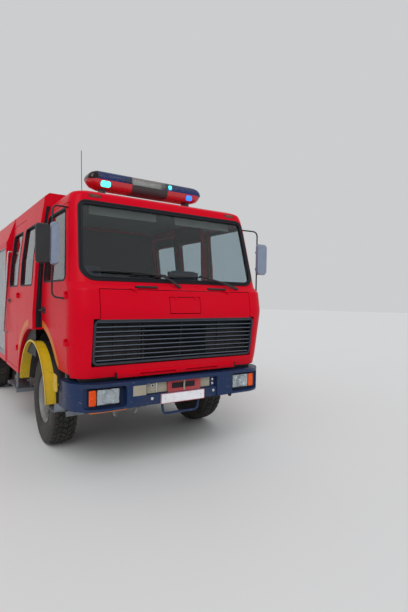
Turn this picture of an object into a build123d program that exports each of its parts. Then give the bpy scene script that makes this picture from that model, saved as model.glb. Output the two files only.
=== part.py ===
from build123d import *
from math import cos, radians, sin
import os

os.makedirs("parts", exist_ok=True)

# Frame: millimetres, +Z up, the front faces -Y and +X is the vehicle's left side.
# A station is a distance behind the front bumper's face.
overall_length = 7400.0
front_overhang = 1330.0
wheelbase = 3600.0

# Clearances
seam = 7.0              # gap round a door, flap or lid
swing_gap = 14.0        # the same where an edge swings past the opening
rest_gap = 0.3          # gap between curved faces of different bodies

# Wheels and axles
tyre_radius = 520.0
tyre_width = 280.0
bead_radius = 262.0
front_wheel_x = 975.0
twin_inner_x = 780.0
twin_outer_x = 1100.0
kingpin_x = 800.0
kingpin_radius = 22.0
spindle_radius = 36.0
spring_x = 410.0
spring_width = 76.0
leaf_thickness = 12.0
front_spring_half = 690.0
rear_spring_half = 760.0

# Chassis frame
rail_x = 430.0          # outer face of each rail
rail_web = 8.0
rail_flange = 75.0
rail_low_z = 700.0
rail_height = 230.0
rail_front = 160.0

# Cab
cab_wall = 40.0
skirt_z = 950.0         # lower edge of the front panel
crease_z = 1580.0       # foremost line of the front panel
flap_top_z = 1800.0
screen_low_z = 1862.0
eave_z = 2690.0
cab_roof_z = 2798.0
cab_rear = 1250.0
corner_chords = 6       # flat chords in each rounded corner, seen from above
door_front = 250.0
door_rear = 1225.0
door_low_z = 978.0
door_top_z = 2640.0
window_low_z = 1874.0
arch_radius = 850.0
mudguard_radius = 672.0
mudguard_thickness = 6.0

# Crew cab
crew_half = 1250.0
crew_wall = 45.0
crew_rear = 3050.0
crew_low_z = 700.0
crew_eave_z = 2850.0
crew_roof_z = 2892.0
crew_roof_inset = 174.0
crew_door_front = 2165.0
crew_door_rear = 2945.0
crew_door_low_z = 760.0
crew_door_top_z = 2700.0
crew_window_low_z = 1840.0
crew_window_top_z = 2560.0

# Equipment body, with the rear step behind it
rear_step_depth = 70.0
rear_step_gap = 5.0
body_front = 3075.0
body_rear = overall_length - rear_step_depth - rear_step_gap
body_half = crew_half
body_wall = 55.0
body_low_z = 720.0
body_shoulder_z = 2480.0
body_roof_z = 2860.0
body_roof_half = 1120.0
shutter_low_z = 800.0
shutter_top_z = 2420.0
shutter_inset = 22.0
shutter_thickness = 16.0
bay_half = 640.0
bay_low_z = 1420.0
bay_top_z = 2380.0
bay_front = body_rear - 905.0
rail_rear = body_rear - 65.0

# Front flap, grille and lid
flap_half = 905.0
grille_half = 956.0
grille_low_z = 1072.0
grille_top_z = 1508.0
grille_frame = 22.0
grille_depth = 46.0
grille_slats = 9
slat_thickness = 6.0
slat_depth = 34.0
slat_slope = 32.0
lid_left = 215.0
lid_right = -165.0
lid_low_z = 1556.0
lid_top_z = 1732.0

# Bumper and lamps
bumper_half = 1155.0
bumper_radius = 300.0
bumper_wrap = 470.0
bumper_low_z = 650.0
bumper_top_z = 908.0
bumper_plate = 10.0
bumper_depth = 130.0
lamp_floor = 80.0
lamp_inner_x = 683.0
lamp_outer_x = 996.0
lamp_low_z = 695.0
lamp_top_z = 849.0
jaw_half = 430.0
jaw_low_z = 752.0
jaw_top_z = 868.0


def at(station):
    """Y of a place this far behind the bumper's face."""
    return station - overall_length / 2


front_axle_y = at(front_overhang)
rear_axle_y = at(front_overhang + wheelbase)

# Cab sections: height, half width, station of the front face, corner radius in plan
cab_sections = (
    (skirt_z - 60, 1112, 112, 190),
    (1060, 1140, 86, 200),
    (crease_z, 1158, 20, 200),
    (flap_top_z, 1152, 62, 190),
    (screen_low_z, 1150, 145, 190),
    (2560, 1104, 345, 140),
    (eave_z, 1080, 385, 120),
    (eave_z + 72, 1050, 408, 110),
    (cab_roof_z, 950, 485, 90),
)


def between(z, column):
    """Value of a column of the cab's table at height z."""
    for lower, upper in zip(cab_sections, cab_sections[1:]):
        if lower[0] <= z <= upper[0]:
            share = (z - lower[0]) / (upper[0] - lower[0])
            return lower[column] + share * (upper[column] - lower[column])


def cab_ring(inset, height, half, nose, radius):
    """Plan outline of the cab at one height, its corners rounded in flat chords."""
    turns = [radians(90.0 * step / corner_chords) for step in range(corner_chords + 1)]
    centre_x = half - radius
    centre_y = at(nose + radius)
    left = [(centre_x + (radius - inset) * sin(turn), centre_y - (radius - inset) * cos(turn))
            for turn in turns] + [(half - inset, at(cab_rear))]
    right = [(-x, y) for x, y in reversed(left)]
    return [(x, y, height) for x, y in left + right]


def cab_volume(inset):
    """Space inside the cab's skin, set in from the outside by inset, all its faces flat."""
    rings = [cab_ring(inset, z - inset if z > eave_z else z, half, nose, radius)
             for z, half, nose, radius in cab_sections]
    outlines = [rings[0], rings[-1]]
    for lower, upper in zip(rings, rings[1:]):
        for here in range(len(lower)):
            after = (here + 1) % len(lower)
            outlines.append((lower[here], lower[after], upper[after], upper[here]))
    return Solid(Shell([Face(Wire.make_polygon(outline)) for outline in outlines]))


def side_prism(points, low_x, high_x, radius=0.0):
    """Prism across X from a side outline of (station, z) points."""
    with BuildPart() as prism:
        with BuildSketch(Plane.YZ.offset(low_x)) as outline:
            with BuildLine():
                Polyline(*[(at(s), z) for s, z in points], close=True)
            make_face()
            if radius:
                fillet(outline.vertices(), radius)
        extrude(amount=high_x - low_x)
    return prism.part


def front_prism(points, low_s, high_s, radius=0.0):
    """Prism along Y from a front outline of (x, z) points."""
    with BuildPart() as prism:
        with BuildSketch(Plane.XZ.offset(-at(high_s))) as outline:
            with BuildLine():
                Polyline(*points, close=True)
            make_face()
            if radius:
                fillet(outline.vertices(), radius)
        extrude(amount=high_s - low_s)
    return prism.part


def rectangle(x0, x1, z0, z1):
    """Corners of an upright rectangle in a front or side outline."""
    return ((x0, z0), (x1, z0), (x1, z1), (x0, z1))


def block(x, s, z):
    """Plain block between two values along each axis."""
    return side_prism(rectangle(s[0], s[1], z[0], z[1]), x[0], x[1])


def arch(station, radius, low_x, high_x):
    """Round wheel arch space across X, open downwards."""
    with BuildPart() as space:
        with BuildSketch(Plane.YZ.offset(low_x)):
            with Locations((at(station), tyre_radius)):
                Circle(radius)
        extrude(amount=high_x - low_x)
    return space.part


def upright_hinge(x, station, low_z, side):
    """Half of a door hinge: its barrel and the arm to the skin, ahead of (-1) or behind (1) the pin."""
    with BuildPart() as half:
        with BuildSketch(Plane.XY.offset(low_z)):
            with Locations((x, at(station))):
                Circle(door_barrel)
            with Locations((x - door_foot / 2 + 4, at(station + side * (seam + door_arm / 2)))):
                Rectangle(door_foot, door_arm)
            with Locations((x, at(station + side * seam))):
                Rectangle(2 * door_barrel - 4, door_barrel)
        extrude(amount=door_barrel_length)
    return half.part


def level_hinge(x, station, z, side, radius, arm, depth):
    """Half of a flap hinge: its barrel and the arm to the skin, above (1) or below (-1) the pin."""
    with BuildPart() as half:
        with BuildSketch(Plane.YZ.offset(x)):
            with Locations((at(station), z)):
                Circle(radius)
            with Locations((at(station + depth / 2 - radius / 2), z + side * (arm / 2 + 2))):
                Rectangle(depth, arm)
        extrude(amount=flap_barrel_length)
    return half.part


def save(piece, name):
    """Label a finished piece and write its file."""
    piece.part.label = name
    export_step(piece.part, f"parts/{name}.step")


# Hinges: pin places, barrels and arms
door_pin_x = 1168.0
crew_pin_x = crew_half + 6.0
door_barrel = 10.0
door_barrel_length = 34.0
door_foot = 34.0
door_arm = 26.0
door_hinge_z = (1250.0, 1700.0)
crew_hinge_z = (1000.0, 1680.0)
flap_pin_lead = 12.0    # how far a flap's pin stands outside the skin
flap_barrel = 8.0
flap_barrel_length = 30.0
flap_hinge_x = (-580.0, 550.0)
lid_pin_lead = 6.5
lid_barrel = 4.0
lid_hinge_x = (lid_right + 35, lid_left - 105)
rear_hinge_x = (-500.0, 470.0)

cab_outside = cab_volume(0.0)
cab_inside = cab_volume(cab_wall)
sides = (("left", 1.0), ("right", -1.0))


# Windscreen plane: its outline is drawn on it, x across and u up the glass.
screen_rise = eave_z - screen_low_z
screen_lean = between(eave_z, 2) - between(screen_low_z, 2)
screen_length = (screen_rise**2 + screen_lean**2) ** 0.5
screen_plane = Plane(
    origin=(0, at(between(screen_low_z, 2)), screen_low_z),
    x_dir=(1, 0, 0),
    z_dir=(0, -screen_rise, screen_lean),
)
gasket_width = 42.0
gasket_proud = 8.0
gasket_depth = 30.0
glass_depth = 14.0
glass_thickness = 6.0
screen_margin = 14.0    # from the folds above and below the windscreen's opening
screen_low_half = 1058.0
screen_top_half = 1018.0
screen_low_radius = 150.0
screen_top_radius = 90.0
screen_reach_in = 100.0
screen_reach_out = 60.0


def screen_prism(inset):
    """Windscreen outline set in by inset, carried through the cab's front."""
    with BuildPart() as prism:
        with BuildSketch(screen_plane.offset(-screen_reach_in)) as outline:
            with BuildLine():
                Polyline(
                    (inset - screen_low_half, inset + screen_margin),
                    (screen_low_half - inset, inset + screen_margin),
                    (screen_top_half - inset, screen_length - inset - screen_margin),
                    (inset - screen_top_half, screen_length - inset - screen_margin),
                    close=True,
                )
            make_face()
            fillet(outline.vertices().group_by(Axis.Y)[0], screen_low_radius - inset)
            fillet(outline.vertices().group_by(Axis.Y)[-1], screen_top_radius - inset)
        extrude(amount=screen_reach_in + screen_reach_out)
    return prism.part


screen_hole = screen_prism(0.0)
glass_outline = screen_prism(gasket_width)

# The door's front edge runs straight up to the glass and leans back beside it.
pillar_bend_z = 1850.0
pillar_top = 443.0


def door_edge(z):
    """Station of the door's front edge at height z."""
    share = max(0.0, (z - pillar_bend_z) / (door_top_z - pillar_bend_z))
    return door_front + share * (pillar_top - door_front)


# Cab front: skin ahead of the doors, with the windscreen and flap openings
front_region = side_prism(
    ((-100, skirt_z), (door_front - seam, skirt_z), (door_front - seam, pillar_bend_z),
     (pillar_top - seam, door_top_z + seam), (pillar_top - seam, eave_z), (-100, eave_z)),
    -crew_half, crew_half)
flap_hole = front_prism(
    rectangle(-flap_half, flap_half, grille_top_z - seam, flap_top_z), -100, 400)
grille_hole = front_prism(
    rectangle(-grille_half - seam, grille_half + seam, grille_low_z - swing_gap, grille_top_z + seam),
    -100, 400)

flap_pin_station = between(flap_top_z, 2) - flap_pin_lead
lid_pin_station = between(lid_top_z, 2) - lid_pin_lead

with BuildPart() as cab_front:
    add(cab_outside)
    add(front_region, mode=Mode.INTERSECT)
    add(cab_inside, mode=Mode.SUBTRACT)
    add(screen_hole, mode=Mode.SUBTRACT)
    add(flap_hole, mode=Mode.SUBTRACT)
    add(grille_hole, mode=Mode.SUBTRACT)
    for x in flap_hinge_x:
        add(level_hinge(x, flap_pin_station, flap_top_z, 1, flap_barrel, 12, 44))
    for z in door_hinge_z:
        half = upright_hinge(door_pin_x, door_front, z, -1)
        add(half)
        add(half.mirror(Plane.YZ))
save(cab_front, "cab_front")

with BuildPart() as gasket_outline:
    add(screen_hole)
    add(glass_outline, mode=Mode.SUBTRACT)

with BuildPart() as windscreen_gasket:
    add(cab_volume(-gasket_proud))
    add(gasket_outline.part, mode=Mode.INTERSECT)
    add(cab_volume(gasket_depth), mode=Mode.SUBTRACT)
save(windscreen_gasket, "windscreen_gasket")

with BuildPart() as windscreen:
    add(cab_volume(glass_depth))
    add(glass_outline, mode=Mode.INTERSECT)
    add(cab_volume(glass_depth + glass_thickness), mode=Mode.SUBTRACT)
save(windscreen, "windscreen")

# Marker lamps let into the roof's front edge
marker_x = 840.0
marker_z = 2729.0
marker_half = 62.0
marker_height = 34.0
with BuildPart() as markers:
    for side in (-1, 1):
        add(block((side * marker_x - marker_half, side * marker_x + marker_half),
                  (between(marker_z, 2) - 12, between(marker_z, 2) + 16),
                  (marker_z - marker_height / 2, marker_z + marker_height / 2)))

# Cab roof: the skin above the eaves and above the doors
roof_region = side_prism(
    ((-100, eave_z), (pillar_top - seam, eave_z), (pillar_top - seam, door_top_z + seam),
     (cab_rear, door_top_z + seam), (cab_rear, cab_roof_z + 50), (-100, cab_roof_z + 50)),
    -crew_half, crew_half)

with BuildPart() as cab_roof:
    add(cab_outside)
    add(roof_region, mode=Mode.INTERSECT)
    add(cab_inside, mode=Mode.SUBTRACT)
    add(markers.part, mode=Mode.SUBTRACT)
save(cab_roof, "cab_roof")

# Cab doors: the skin between the pillars, cut by the wheel arch and the window
door_region = side_prism(
    ((door_front, door_low_z), (door_rear, door_low_z), (door_rear, door_top_z),
     (pillar_top, door_top_z), (door_front, pillar_bend_z)),
    0, crew_half)
window_border = 58.0
window_radius = 45.0
window_top_z = door_top_z - 42.0
door_window = side_prism(
    ((door_edge(window_low_z) + window_border, window_low_z), (door_rear - window_border, window_low_z),
     (door_rear - window_border, window_top_z), (door_edge(window_top_z) + window_border, window_top_z)),
    0, crew_half, window_radius)
door_arch = arch(front_overhang, arch_radius, 0, crew_half)
door_glass_skin = cab_volume(cab_wall / 2)
door_glass_inner = cab_volume(cab_wall / 2 + glass_thickness)

with BuildPart() as door_left:
    add(cab_outside)
    add(door_region, mode=Mode.INTERSECT)
    add(cab_inside, mode=Mode.SUBTRACT)
    add(door_window, mode=Mode.SUBTRACT)
    add(door_arch, mode=Mode.SUBTRACT)
    for z in door_hinge_z:
        add(upright_hinge(door_pin_x, door_front, z + door_barrel_length + rest_gap, 1))
save(door_left, "door_left")

with BuildPart() as door_right:
    mirror(door_left.part, about=Plane.YZ)
save(door_right, "door_right")

with BuildPart() as door_glass_left:
    add(door_glass_skin)
    add(door_window, mode=Mode.INTERSECT)
    add(door_glass_inner, mode=Mode.SUBTRACT)
save(door_glass_left, "door_glass_left")

with BuildPart() as door_glass_right:
    mirror(door_glass_left.part, about=Plane.YZ)
save(door_glass_right, "door_glass_right")

# Front flap with its lid, and the grille that rides under it
lid_hole = front_prism(rectangle(lid_right, lid_left, lid_low_z, lid_top_z), -100, 400)
lid_shape = front_prism(
    rectangle(lid_right + seam, lid_left - seam, lid_low_z + seam, lid_top_z - seam), -100, 400)
flap_shape = front_prism(
    rectangle(seam - flap_half, flap_half - seam, grille_top_z, flap_top_z - seam), -100, 400)

with BuildPart() as front_flap:
    add(cab_outside)
    add(flap_shape, mode=Mode.INTERSECT)
    add(cab_inside, mode=Mode.SUBTRACT)
    add(lid_hole, mode=Mode.SUBTRACT)
    for x in flap_hinge_x:
        add(level_hinge(x + flap_barrel_length + rest_gap, flap_pin_station, flap_top_z, -1,
                        flap_barrel, 24, 44))
    for x in lid_hinge_x:
        add(level_hinge(x, lid_pin_station, lid_top_z, 1, lid_barrel, 10, 26))
save(front_flap, "front_flap")

with BuildPart() as flap_lid:
    add(cab_outside)
    add(lid_shape, mode=Mode.INTERSECT)
    add(cab_volume(cab_wall / 2), mode=Mode.SUBTRACT)
    for x in lid_hinge_x:
        add(level_hinge(x + flap_barrel_length + rest_gap, lid_pin_station, lid_top_z, -1,
                        lid_barrel, 20, 22))
save(flap_lid, "flap_lid")

grille_corner = 55.0
grille_outline = front_prism(
    rectangle(-grille_half, grille_half, grille_low_z, grille_top_z), -100, 400, grille_corner)
grille_inside = front_prism(
    rectangle(grille_frame - grille_half, grille_half - grille_frame,
              grille_low_z + grille_frame, grille_top_z - grille_frame),
    -100, 400, grille_corner - grille_frame)
slat_pitch = (grille_top_z - grille_low_z) / (grille_slats + 0.5)

with BuildPart() as grille_band:
    add(cab_outside)
    add(grille_outline, mode=Mode.INTERSECT)
    add(cab_volume(grille_depth), mode=Mode.SUBTRACT)
    add(grille_inside, mode=Mode.SUBTRACT)

with BuildPart() as slats:
    for row in range(grille_slats):
        z = grille_low_z + (row + 0.75) * slat_pitch
        y = at(between(z, 2) + grille_depth / 2)
        with BuildSketch(Plane.YZ.offset(-grille_half)):
            with Locations(Location((y, z), -slat_slope)):
                Rectangle(slat_depth, slat_thickness)
        extrude(amount=2 * grille_half)
    add(grille_outline, mode=Mode.INTERSECT)

with BuildPart() as grille:
    add(grille_band.part)
    add(slats.part)
    for x in (-grille_half / 2, 0, grille_half / 2):
        with BuildSketch(Plane.YZ.offset(x - slat_thickness / 2)):
            with BuildLine():
                Polyline(
                    (at(between(grille_low_z, 2) + grille_depth - 18), grille_low_z + 4),
                    (at(between(grille_low_z, 2) + grille_depth), grille_low_z + 4),
                    (at(between(grille_top_z, 2) + grille_depth), grille_top_z - 4),
                    (at(between(grille_top_z, 2) + grille_depth - 18), grille_top_z - 4),
                    close=True,
                )
            make_face()
        extrude(amount=slat_thickness)
save(grille, "grille")

# Lower front panel: a ledge over the bumper with two long slots
ledge_half = 715.0
ledge_low_z = 938.0
ledge_top_z = 990.0
ledge_front = 62.0
slot_half = 205.0
slot_height = 12.0
slot_x = 265.0

with BuildPart() as lower_panel:
    with BuildSketch(Plane.YZ.offset(-ledge_half)):
        with BuildLine():
            Polyline(
                (at(ledge_front + 8), ledge_low_z),
                (at(between(ledge_low_z, 2)), ledge_low_z),
                (at(between(ledge_top_z, 2)), ledge_top_z),
                (at(ledge_front), ledge_top_z - 14),
                close=True,
            )
        make_face()
    extrude(amount=2 * ledge_half)
    for x in (-slot_x, slot_x):
        with BuildSketch(Plane.XZ.offset(-at(ledge_front + 30))):
            with Locations((x, (ledge_low_z + ledge_top_z) / 2)):
                SlotOverall(2 * slot_half, slot_height)
        extrude(amount=60, mode=Mode.SUBTRACT)
save(lower_panel, "lower_panel")


# Bumper: channel bent round the corners, with lamp pockets and a towing jaw
def bumper_volume(inset, low_z, top_z):
    """Bumper's plan outline set in by inset, between two heights."""
    half = bumper_half - inset
    with BuildPart() as volume:
        with BuildSketch(Plane.XY.offset(low_z)) as plan:
            with BuildLine():
                Polyline((-half, at(bumper_wrap)), (-half, at(inset)),
                         (half, at(inset)), (half, at(bumper_wrap)), close=True)
            make_face()
            fillet(plan.vertices().group_by(Axis.Y)[0], bumper_radius - inset)
        extrude(amount=top_z - low_z)
    return volume.part


bumper_space = bumper_volume(bumper_plate, bumper_low_z + bumper_plate, bumper_top_z - bumper_plate)
pocket_margin_x = 48.0
pocket_margin_z = 26.0
bar_radius = 13.0
loop_half = 205.0
loop_low_z = 525.0
loop_station = 62.0
plate_recess = 14.0
jaw_block_rear = 62.0

with BuildPart() as bumper_blocks:
    for side in (-1, 1):
        inner = side * (lamp_inner_x - pocket_margin_x - 14)
        outer = side * (lamp_outer_x + pocket_margin_x + 14)
        add(block((min(inner, outer), max(inner, outer)), (-10, lamp_floor + 12),
                  (bumper_low_z, bumper_top_z)))
    add(block((-jaw_half - 14, jaw_half + 14), (-10, jaw_block_rear), (bumper_low_z, bumper_top_z)))
    add(bumper_volume(0, bumper_low_z, bumper_top_z), mode=Mode.INTERSECT)

with BuildPart() as bumper:
    add(bumper_volume(0, bumper_low_z, bumper_top_z))
    add(bumper_volume(bumper_depth, bumper_low_z, bumper_top_z), mode=Mode.SUBTRACT)
    add(bumper_space, mode=Mode.SUBTRACT)
    add(bumper_blocks.part)
    for side in (-1, 1):
        with BuildSketch(Plane.XZ.offset(-at(lamp_floor))) as pocket:
            with Locations((side * (lamp_inner_x + lamp_outer_x) / 2, (lamp_low_z + lamp_top_z) / 2)):
                RectangleRounded(lamp_outer_x - lamp_inner_x + 2 * pocket_margin_x,
                                 lamp_top_z - lamp_low_z + 2 * pocket_margin_z, 34)
        extrude(amount=200, mode=Mode.SUBTRACT)
    with BuildSketch(Plane.XZ.offset(-at(46))):
        with Locations((0, (jaw_low_z + jaw_top_z) / 2)):
            Rectangle(2 * jaw_half, jaw_top_z - jaw_low_z)
    extrude(amount=200, mode=Mode.SUBTRACT)
    with BuildSketch(Plane.XZ.offset(-at(plate_recess))):
        with Locations((0, (bumper_low_z + jaw_low_z) / 2 - 1)):
            Rectangle(2 * jaw_half, jaw_low_z - bumper_low_z + 2)
    extrude(amount=200, mode=Mode.SUBTRACT)
    for side in (-1, 1):
        add(block(sorted((side * (rail_x - rail_flange), side * rail_x)),
                  (jaw_block_rear, rail_front), (rail_low_z, rail_low_z + 180)))
    with BuildLine() as loop_path:
        FilletPolyline(
            (-loop_half - 20, at(loop_station), bumper_low_z + 5),
            (-loop_half, at(loop_station), loop_low_z),
            (loop_half, at(loop_station), loop_low_z),
            (loop_half + 20, at(loop_station), bumper_low_z + 5),
            radius=38,
        )
    with BuildSketch(loop_path.line ^ 0):
        Circle(bar_radius)
    sweep()
save(bumper, "bumper")

# Headlamp and indicator units, seated on the floor of each pocket
lamp_proud = 14.0
with BuildPart() as headlamps:
    for side in (-1, 1):
        with BuildSketch(Plane.XZ.offset(-at(lamp_floor))):
            with Locations((side * (lamp_inner_x + lamp_outer_x) / 2, (lamp_low_z + lamp_top_z) / 2)):
                RectangleRounded(lamp_outer_x - lamp_inner_x, lamp_top_z - lamp_low_z, 16)
        extrude(amount=lamp_proud)
save(headlamps, "headlamps")

# Crew cab and equipment body outlines across the vehicle, (half width, height)
crew_profile = ((crew_half - 10, crew_low_z), (crew_half, 1500), (crew_half - 35, 2150),
                (crew_half - 90, 2600), (crew_half - 126, crew_eave_z))
crew_roof_profile = crew_profile[-1:] + ((crew_half - crew_roof_inset, crew_roof_z),)


def crew_width(z):
    """Outer half width of the crew cab at height z."""
    for (x0, z0), (x1, z1) in zip(crew_profile, crew_profile[1:]):
        if z0 <= z <= z1:
            return x0 + (x1 - x0) * (z - z0) / (z1 - z0)


def crew_side_volume(outer_inset, inner_inset, low_z, top_z, start, end):
    """Left wall of the crew cab between two insets from its outside."""
    heights = [low_z] + [z for x, z in crew_profile if low_z < z < top_z] + [top_z]
    outer = [(crew_width(z) - outer_inset, z) for z in heights]
    inner = [(crew_width(z) - inner_inset, z) for z in reversed(heights)]
    return front_prism(outer + inner, start, end)


crew_door_region = side_prism(
    rectangle(crew_door_front, crew_door_rear, crew_door_low_z, crew_door_top_z), 0, crew_half + 50)
crew_door_hole = side_prism(
    rectangle(crew_door_front - seam, crew_door_rear + swing_gap, crew_door_low_z - seam,
              crew_door_top_z + seam), 0, crew_half + 50)
crew_door_window = side_prism(
    rectangle(crew_door_front + 80, crew_door_rear - 80, crew_window_low_z, crew_window_top_z),
    0, crew_half + 50, window_radius)
crew_fixed_window = side_prism(
    rectangle(cab_rear + 130, crew_door_front - 110, crew_window_low_z, crew_window_top_z),
    0, crew_half + 50, window_radius)
crew_arch = arch(front_overhang, arch_radius - 30, 0, crew_half + 50)

# The rear edge of the crew door tapers inward, so that it swings clear of its opening.
taper_run = 20.0
taper_inner_x = crew_half - 160.0
with BuildPart() as crew_door_taper:
    with BuildSketch(Plane.XY.offset(crew_door_low_z - seam)):
        with BuildLine():
            Polyline((crew_half + seam, at(crew_door_rear)), (taper_inner_x, at(crew_door_rear - taper_run)),
                     (taper_inner_x, at(crew_door_rear + swing_gap)),
                     (crew_half + seam, at(crew_door_rear + swing_gap)), close=True)
        make_face()
    extrude(amount=crew_door_top_z - crew_door_low_z + 2 * seam)

strip_inner_x = 1066.0
strip_depth = 40.0

with BuildPart() as crew_side_left:
    add(crew_side_volume(0, crew_wall, crew_low_z, crew_eave_z, cab_rear, crew_rear))
    add(front_prism(
        [(strip_inner_x, 1300)] + [(crew_width(z) - 5, z) for z in (1300, 1500, 2150, 2600, crew_eave_z)]
        + [(strip_inner_x - 60, crew_eave_z)],
        cab_rear, cab_rear + strip_depth))
    add(crew_door_hole, mode=Mode.SUBTRACT)
    add(crew_fixed_window, mode=Mode.SUBTRACT)
    add(crew_arch, mode=Mode.SUBTRACT)
    for z in crew_hinge_z:
        add(upright_hinge(crew_pin_x, crew_door_front, z, -1))

with BuildPart() as crew_sides:
    add(crew_side_left.part)
    mirror(crew_side_left.part, about=Plane.YZ)
save(crew_sides, "crew_sides")

with BuildPart() as crew_window_left:
    add(crew_side_volume(crew_wall / 2, crew_wall / 2 + glass_thickness, crew_window_low_z,
                         crew_window_top_z, cab_rear, crew_rear))
    add(crew_fixed_window, mode=Mode.INTERSECT)

with BuildPart() as crew_windows:
    add(crew_window_left.part)
    mirror(crew_window_left.part, about=Plane.YZ)
save(crew_windows, "crew_windows")

with BuildPart() as crew_door_left:
    add(crew_side_volume(0, crew_wall, crew_door_low_z, crew_door_top_z, cab_rear, crew_rear))
    add(crew_door_region, mode=Mode.INTERSECT)
    add(crew_door_window, mode=Mode.SUBTRACT)
    add(crew_door_taper.part, mode=Mode.SUBTRACT)
    for z in crew_hinge_z:
        add(upright_hinge(crew_pin_x, crew_door_front, z + door_barrel_length + rest_gap, 1))
save(crew_door_left, "crew_door_left")

with BuildPart() as crew_door_right:
    mirror(crew_door_left.part, about=Plane.YZ)
save(crew_door_right, "crew_door_right")

with BuildPart() as crew_glass_left:
    add(crew_side_volume(crew_wall / 2, crew_wall / 2 + glass_thickness, crew_window_low_z,
                         crew_window_top_z, cab_rear, crew_rear))
    add(crew_door_window, mode=Mode.INTERSECT)
save(crew_glass_left, "crew_glass_left")

with BuildPart() as crew_glass_right:
    mirror(crew_glass_left.part, about=Plane.YZ)
save(crew_glass_right, "crew_glass_right")

# Crew roof with the header that closes the step down to the cab roof
with BuildPart() as crew_roof:
    add(front_prism(
        ((-crew_roof_profile[0][0], crew_eave_z), (-crew_roof_profile[1][0], crew_roof_z),
         (crew_roof_profile[1][0], crew_roof_z), (crew_roof_profile[0][0], crew_eave_z)),
        cab_rear, crew_rear))
    add(front_prism(
        ((-strip_inner_x + 60, crew_eave_z), (-strip_inner_x + 60, cab_roof_z),
         (strip_inner_x - 60, cab_roof_z), (strip_inner_x - 60, crew_eave_z)),
        cab_rear, cab_rear + strip_depth))
save(crew_roof, "crew_roof")

with BuildPart() as crew_rear_wall:
    add(front_prism(
        [(-(crew_width(z) - crew_wall), z) for z in (1000, 1500, 2150, 2600, crew_eave_z)]
        + [(crew_width(z) - crew_wall, z) for z in (crew_eave_z, 2600, 2150, 1500, 1000)],
        crew_rear - crew_wall, crew_rear))
save(crew_rear_wall, "crew_rear_wall")

# Floor: flat in front, over the wheels in an arch, flat again under the crew
floor_thickness = 36.0
floor_front = 240.0
mount_stations = (420, 2300, 2850)
floor_z = 975.0
floor_arch = arch_radius - 60.0
tunnel_half = 440.0
tunnel_top_z = 1440.0
tunnel_rear = 1900.0
floor_half = 1060.0

with BuildPart() as front_floor:
    add(block((-floor_half, floor_half), (0, front_overhang - 600), (floor_z, floor_z + floor_thickness)))
    add(cab_inside, mode=Mode.INTERSECT)

with BuildPart() as floor_arch_ring:
    with BuildSketch(Plane.YZ.offset(-floor_half)):
        with Locations((front_axle_y, tyre_radius)):
            Circle(floor_arch + floor_thickness)
    extrude(amount=2 * floor_half)
    add(block((-floor_half, floor_half), (0, cab_rear + 2000), (floor_z, 1500)), mode=Mode.INTERSECT)

with BuildPart() as cab_floor:
    add(floor_arch_ring.part)
    add(front_floor.part)
    add(block((-floor_half, floor_half), (front_overhang + 600, crew_rear - crew_wall),
              (floor_z, floor_z + floor_thickness)))
    add(block((-tunnel_half, tunnel_half), (floor_front, tunnel_rear), (floor_z, tunnel_top_z)))
    add(arch(front_overhang, floor_arch, -floor_half, -tunnel_half), mode=Mode.SUBTRACT)
    add(arch(front_overhang, floor_arch, tunnel_half, floor_half), mode=Mode.SUBTRACT)
    add(block((cab_wall - tunnel_half, tunnel_half - cab_wall), (0, tunnel_rear - cab_wall),
              (floor_z - 20, tunnel_top_z - cab_wall)), mode=Mode.SUBTRACT)
    for side in (-1, 1):
        for station in mount_stations:
            add(block(sorted((side * (rail_x - rail_flange), side * rail_x)),
                      (station, station + 90), (rail_low_z + rail_height, floor_z)))
save(cab_floor, "cab_floor")

# Steering wheel on its column, and the dashboard that the column passes through
wheel_x = 690.0
steer_radius = 230.0
steer_lean = 32.0
steer_centre = (wheel_x, at(640), 1800.0)
steer_plane = Plane(
    origin=steer_centre, x_dir=(1, 0, 0),
    z_dir=(0, sin(radians(steer_lean)), cos(radians(steer_lean))))
with BuildPart() as steering_wheel:
    with BuildSketch(Plane(origin=steer_centre, x_dir=steer_plane.z_dir, z_dir=(1, 0, 0))):
        with Locations((0, steer_radius)):
            Circle(13)
    revolve(axis=Axis(steer_centre, steer_plane.z_dir))
    with BuildSketch(steer_plane.offset(-40)):
        Circle(52)
    extrude(amount=46)
    with BuildSketch(steer_plane.offset(-9)):
        Rectangle(2 * steer_radius, 34)
        with Locations((0, steer_radius / 2)):
            Rectangle(34, steer_radius)
    extrude(amount=12)
    with BuildSketch(steer_plane.offset(-380)):
        Circle(28)
    extrude(amount=350)
save(steering_wheel, "steering_wheel")

dash_front = 250.0
dash_rear = 520.0
dash_low_z = tunnel_top_z
dash_top_z = 1760.0
dash_half = 1040.0
with BuildPart() as dashboard:
    with BuildSketch(Plane.YZ.offset(-dash_half)) as dash_side:
        with BuildLine():
            Polyline((at(dash_front), dash_low_z), (at(dash_front), dash_top_z),
                     (at(dash_rear - 90), dash_top_z), (at(dash_rear), dash_top_z - 120),
                     (at(dash_rear - 40), dash_low_z), close=True)
        make_face()
        fillet(dash_side.vertices(), 24)
    extrude(amount=2 * dash_half)
    add(steering_wheel.part, mode=Mode.SUBTRACT)
save(dashboard, "dashboard")

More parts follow.
